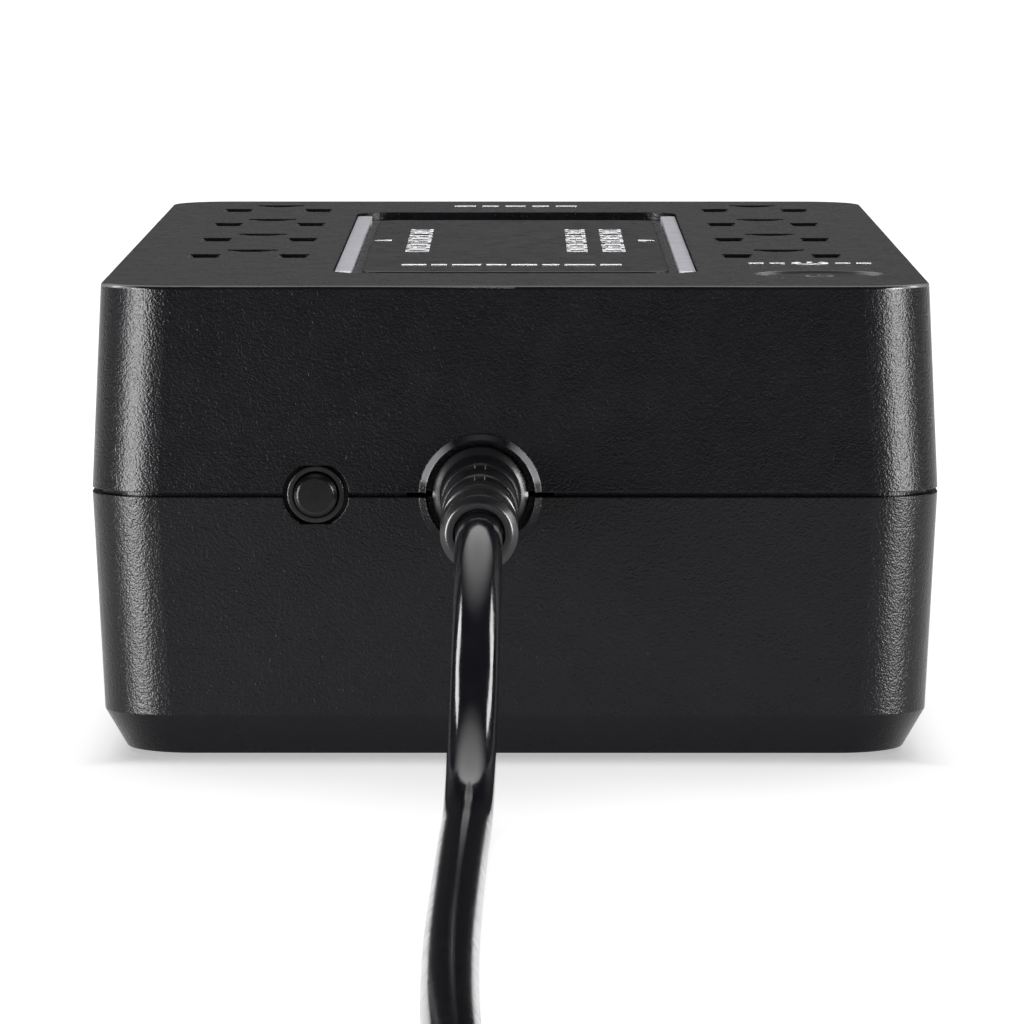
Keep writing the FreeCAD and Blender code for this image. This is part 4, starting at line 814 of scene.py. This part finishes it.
def add_tie():
    """A soft strap round the coil's turns, closed on itself."""
    inner = COIL_OUTER - TURN_SPACING * COIL_TURNS / 2 - CORD_RADIUS
    outer = COIL_OUTER + CORD_RADIUS
    half_depth = (outer - inner) / 2 + 0.7 * MM
    low, high = 0.1 * MM, HIGH_LAYER + CORD_RADIUS + 0.6 * MM
    radial = Vector((math.cos(TIE_ANGLE), math.sin(TIE_ANGLE), 0))
    along = Vector((-math.sin(TIE_ANGLE), math.cos(TIE_ANGLE), 0))
    middle = Vector((*COIL_MIDDLE, 0)) + radial * (inner + outer) / 2

    def band_row(offset, thickness):
        """A loop of points round the turns, thickness inside the strap's outer face."""
        row = []
        for angle in turns_of(48):
            x = (half_depth - thickness) * signed_power(math.cos(angle), 0.55)
            rise = ((high - low) / 2 - thickness) * signed_power(math.sin(angle), 0.45)
            z = (low + high) / 2 + rise
            row.append(middle + radial * x + along * offset + Vector((0, 0, z)))
        return row

    edge = TIE_HALF_BAND - TIE_SOFT_EDGE
    stations = (
        (-TIE_HALF_BAND, TIE_EDGE_THICKNESS), (-edge, TIE_THICKNESS),
        (edge, TIE_THICKNESS), (TIE_HALF_BAND, TIE_EDGE_THICKNESS),
    )
    rows = [band_row(offset, 0) for offset, _ in stations]
    rows += [band_row(offset, thickness) for offset, thickness in reversed(stations)]
    mesh = grid_mesh("coil_tie", rows, close_rows=True)
    return new_piece("coil_tie", mesh, "tie", "case")


cord = add_cord()
boot = add_strain_relief()
plug_shell = add_plug()
tie = add_tie()


# ---------------------------------------------------------------------------------------------
# Printed marks: plain dashes, triangles and a power symbol, all generic
# ---------------------------------------------------------------------------------------------
PRINT_THICKNESS = 0.04 * MM
PRINT_LIFT = 0.04 * MM
TICK_LINE, TICK_PITCH = 0.55, 3.9


def print_mesh(name, outlines, z, look="ink", body="case"):
    """Thin printed shapes, each a convex outline of (x, y) points in metres."""
    mesh = bpy.data.meshes.new(name)
    points, faces = [], []
    for shape in outlines:
        base, count = len(points), len(shape)
        points += [(x, y, z) for x, y in shape] + [(x, y, z + PRINT_THICKNESS) for x, y in shape]
        faces.append(tuple(range(base + count - 1, base - 1, -1)))
        faces.append(tuple(range(base + count, base + 2 * count)))
        for i in range(count):
            j = (i + 1) % count
            faces.append((base + i, base + j, base + count + j, base + count + i))
    mesh.from_pydata(points, [], faces)
    return new_piece(name, mesh, look, body, smooth=False)


def bar(x, y, width, length):
    """A bar's outline about its middle, in metres from millimetres."""
    x0, x1 = (x - width / 2) * MM, (x + width / 2) * MM
    y0, y1 = (y - length / 2) * MM, (y + length / 2) * MM
    return [(x0, y0), (x1, y0), (x1, y1), (x0, y1)]


def arc_band(x, y, inner, outer, start, stop, steps):
    """An open ring's outline as short convex pieces, in metres from millimetres."""
    pieces = []
    for i in range(steps):
        a = start + (stop - start) * i / steps
        b = start + (stop - start) * (i + 1) / steps
        corners = ((inner, a), (outer, a), (outer, b), (inner, b))
        pieces.append([
            ((x + r * math.cos(angle)) * MM, (y + r * math.sin(angle)) * MM)
            for r, angle in corners
        ])
    return pieces


def power_symbol(x, y, radius, line):
    """A ring open towards the back, with a bar in the opening."""
    opening = math.radians(38)
    start = math.pi / 2 + opening
    pieces = arc_band(x, y, radius - line, radius, start, start + 2 * (math.pi - opening), 28)
    pieces.append(bar(x, y + radius * 0.62, line, radius * 0.9))
    return pieces


def tick_column(x, low, high, width):
    """Plain ticks one behind the other, three shapes in turn, in groups of five."""
    line = TICK_LINE
    shapes, y, number = [], low, 0
    while y < high:
        edge = (width - line) / 2
        shapes.append(bar(x, y, width, line))
        if number % 3 == 0:
            shapes += [bar(x + side * edge, y + 1.0, line, 2.0 - line) for side in (-1, 1)]
        elif number % 3 == 1:
            shapes.append(bar(x, y + 1.5, width * 0.7, line))
        else:
            shapes.append(bar(x - edge * 0.3, y + 1.1, line, 2.2 - line))
            shapes.append(bar(x + edge, y + 1.1, line, 2.2 - line))
        number += 1
        y += TICK_PITCH * (1.5 if number % 5 == 0 else 1)
    return shapes


def broken_line(x, y, lengths, gap, thickness):
    """Dashes of different lengths in a row across the top, about a middle."""
    shapes, start = [], x - (sum(lengths) + gap * (len(lengths) - 1)) / 2
    for length in lengths:
        shapes.append(bar(start + length / 2, y, length, thickness))
        start += length + gap
    return shapes


def add_prints():
    panel_top = PANEL_HIGH[2] + PRINT_LIFT
    case_top = TOP + PRINT_LIFT
    ticks = []
    for x, width in ((-14.2, 3.4), (8.9, 3.0), (14.2, 3.3)):
        ticks += tick_column(x, -26.5, 27.0, width)
    print_mesh("panel_ticks", ticks, panel_top)
    lengths = (3.4, 2.2, 4.1, 2.8, 3.6, 2.4, 4.3, 3.0)
    print_mesh("panel_front_row", broken_line(-0.5, -56.3, lengths, 0.7, 1.7), panel_top)
    left = [(-20.9 * MM, -0.9 * MM), (-18.4 * MM, -2.3 * MM), (-18.4 * MM, 0.5 * MM)]
    right = [(20.5 * MM, -0.9 * MM), (18.1 * MM, 0.5 * MM), (18.1 * MM, -2.3 * MM)]
    print_mesh("panel_pointers", [left, right], panel_top)
    back = broken_line(-0.1, 86.6, (3.4, 2.6, 3.2, 2.7, 3.4), 1.1, 1.8)
    print_mesh("case_back_row", back, case_top)
    label_x, label_y = 41.2, -55.2
    label = power_symbol(label_x, label_y, 2.6, 0.7)
    for offset in (-4.6, -7.5, 4.6, 7.5):
        label.append(bar(label_x + offset, label_y, 2.1, 1.3))
    print_mesh("button_label", label, case_top)
    x, y = BUTTON_MIDDLE[0] / MM, BUTTON_MIDDLE[1] / MM
    symbol = power_symbol(x, y, 2.0, 0.45)
    print_mesh("button_symbol", symbol, BUTTON_HIGH[2], "dim_ink", "power_button")


add_prints()
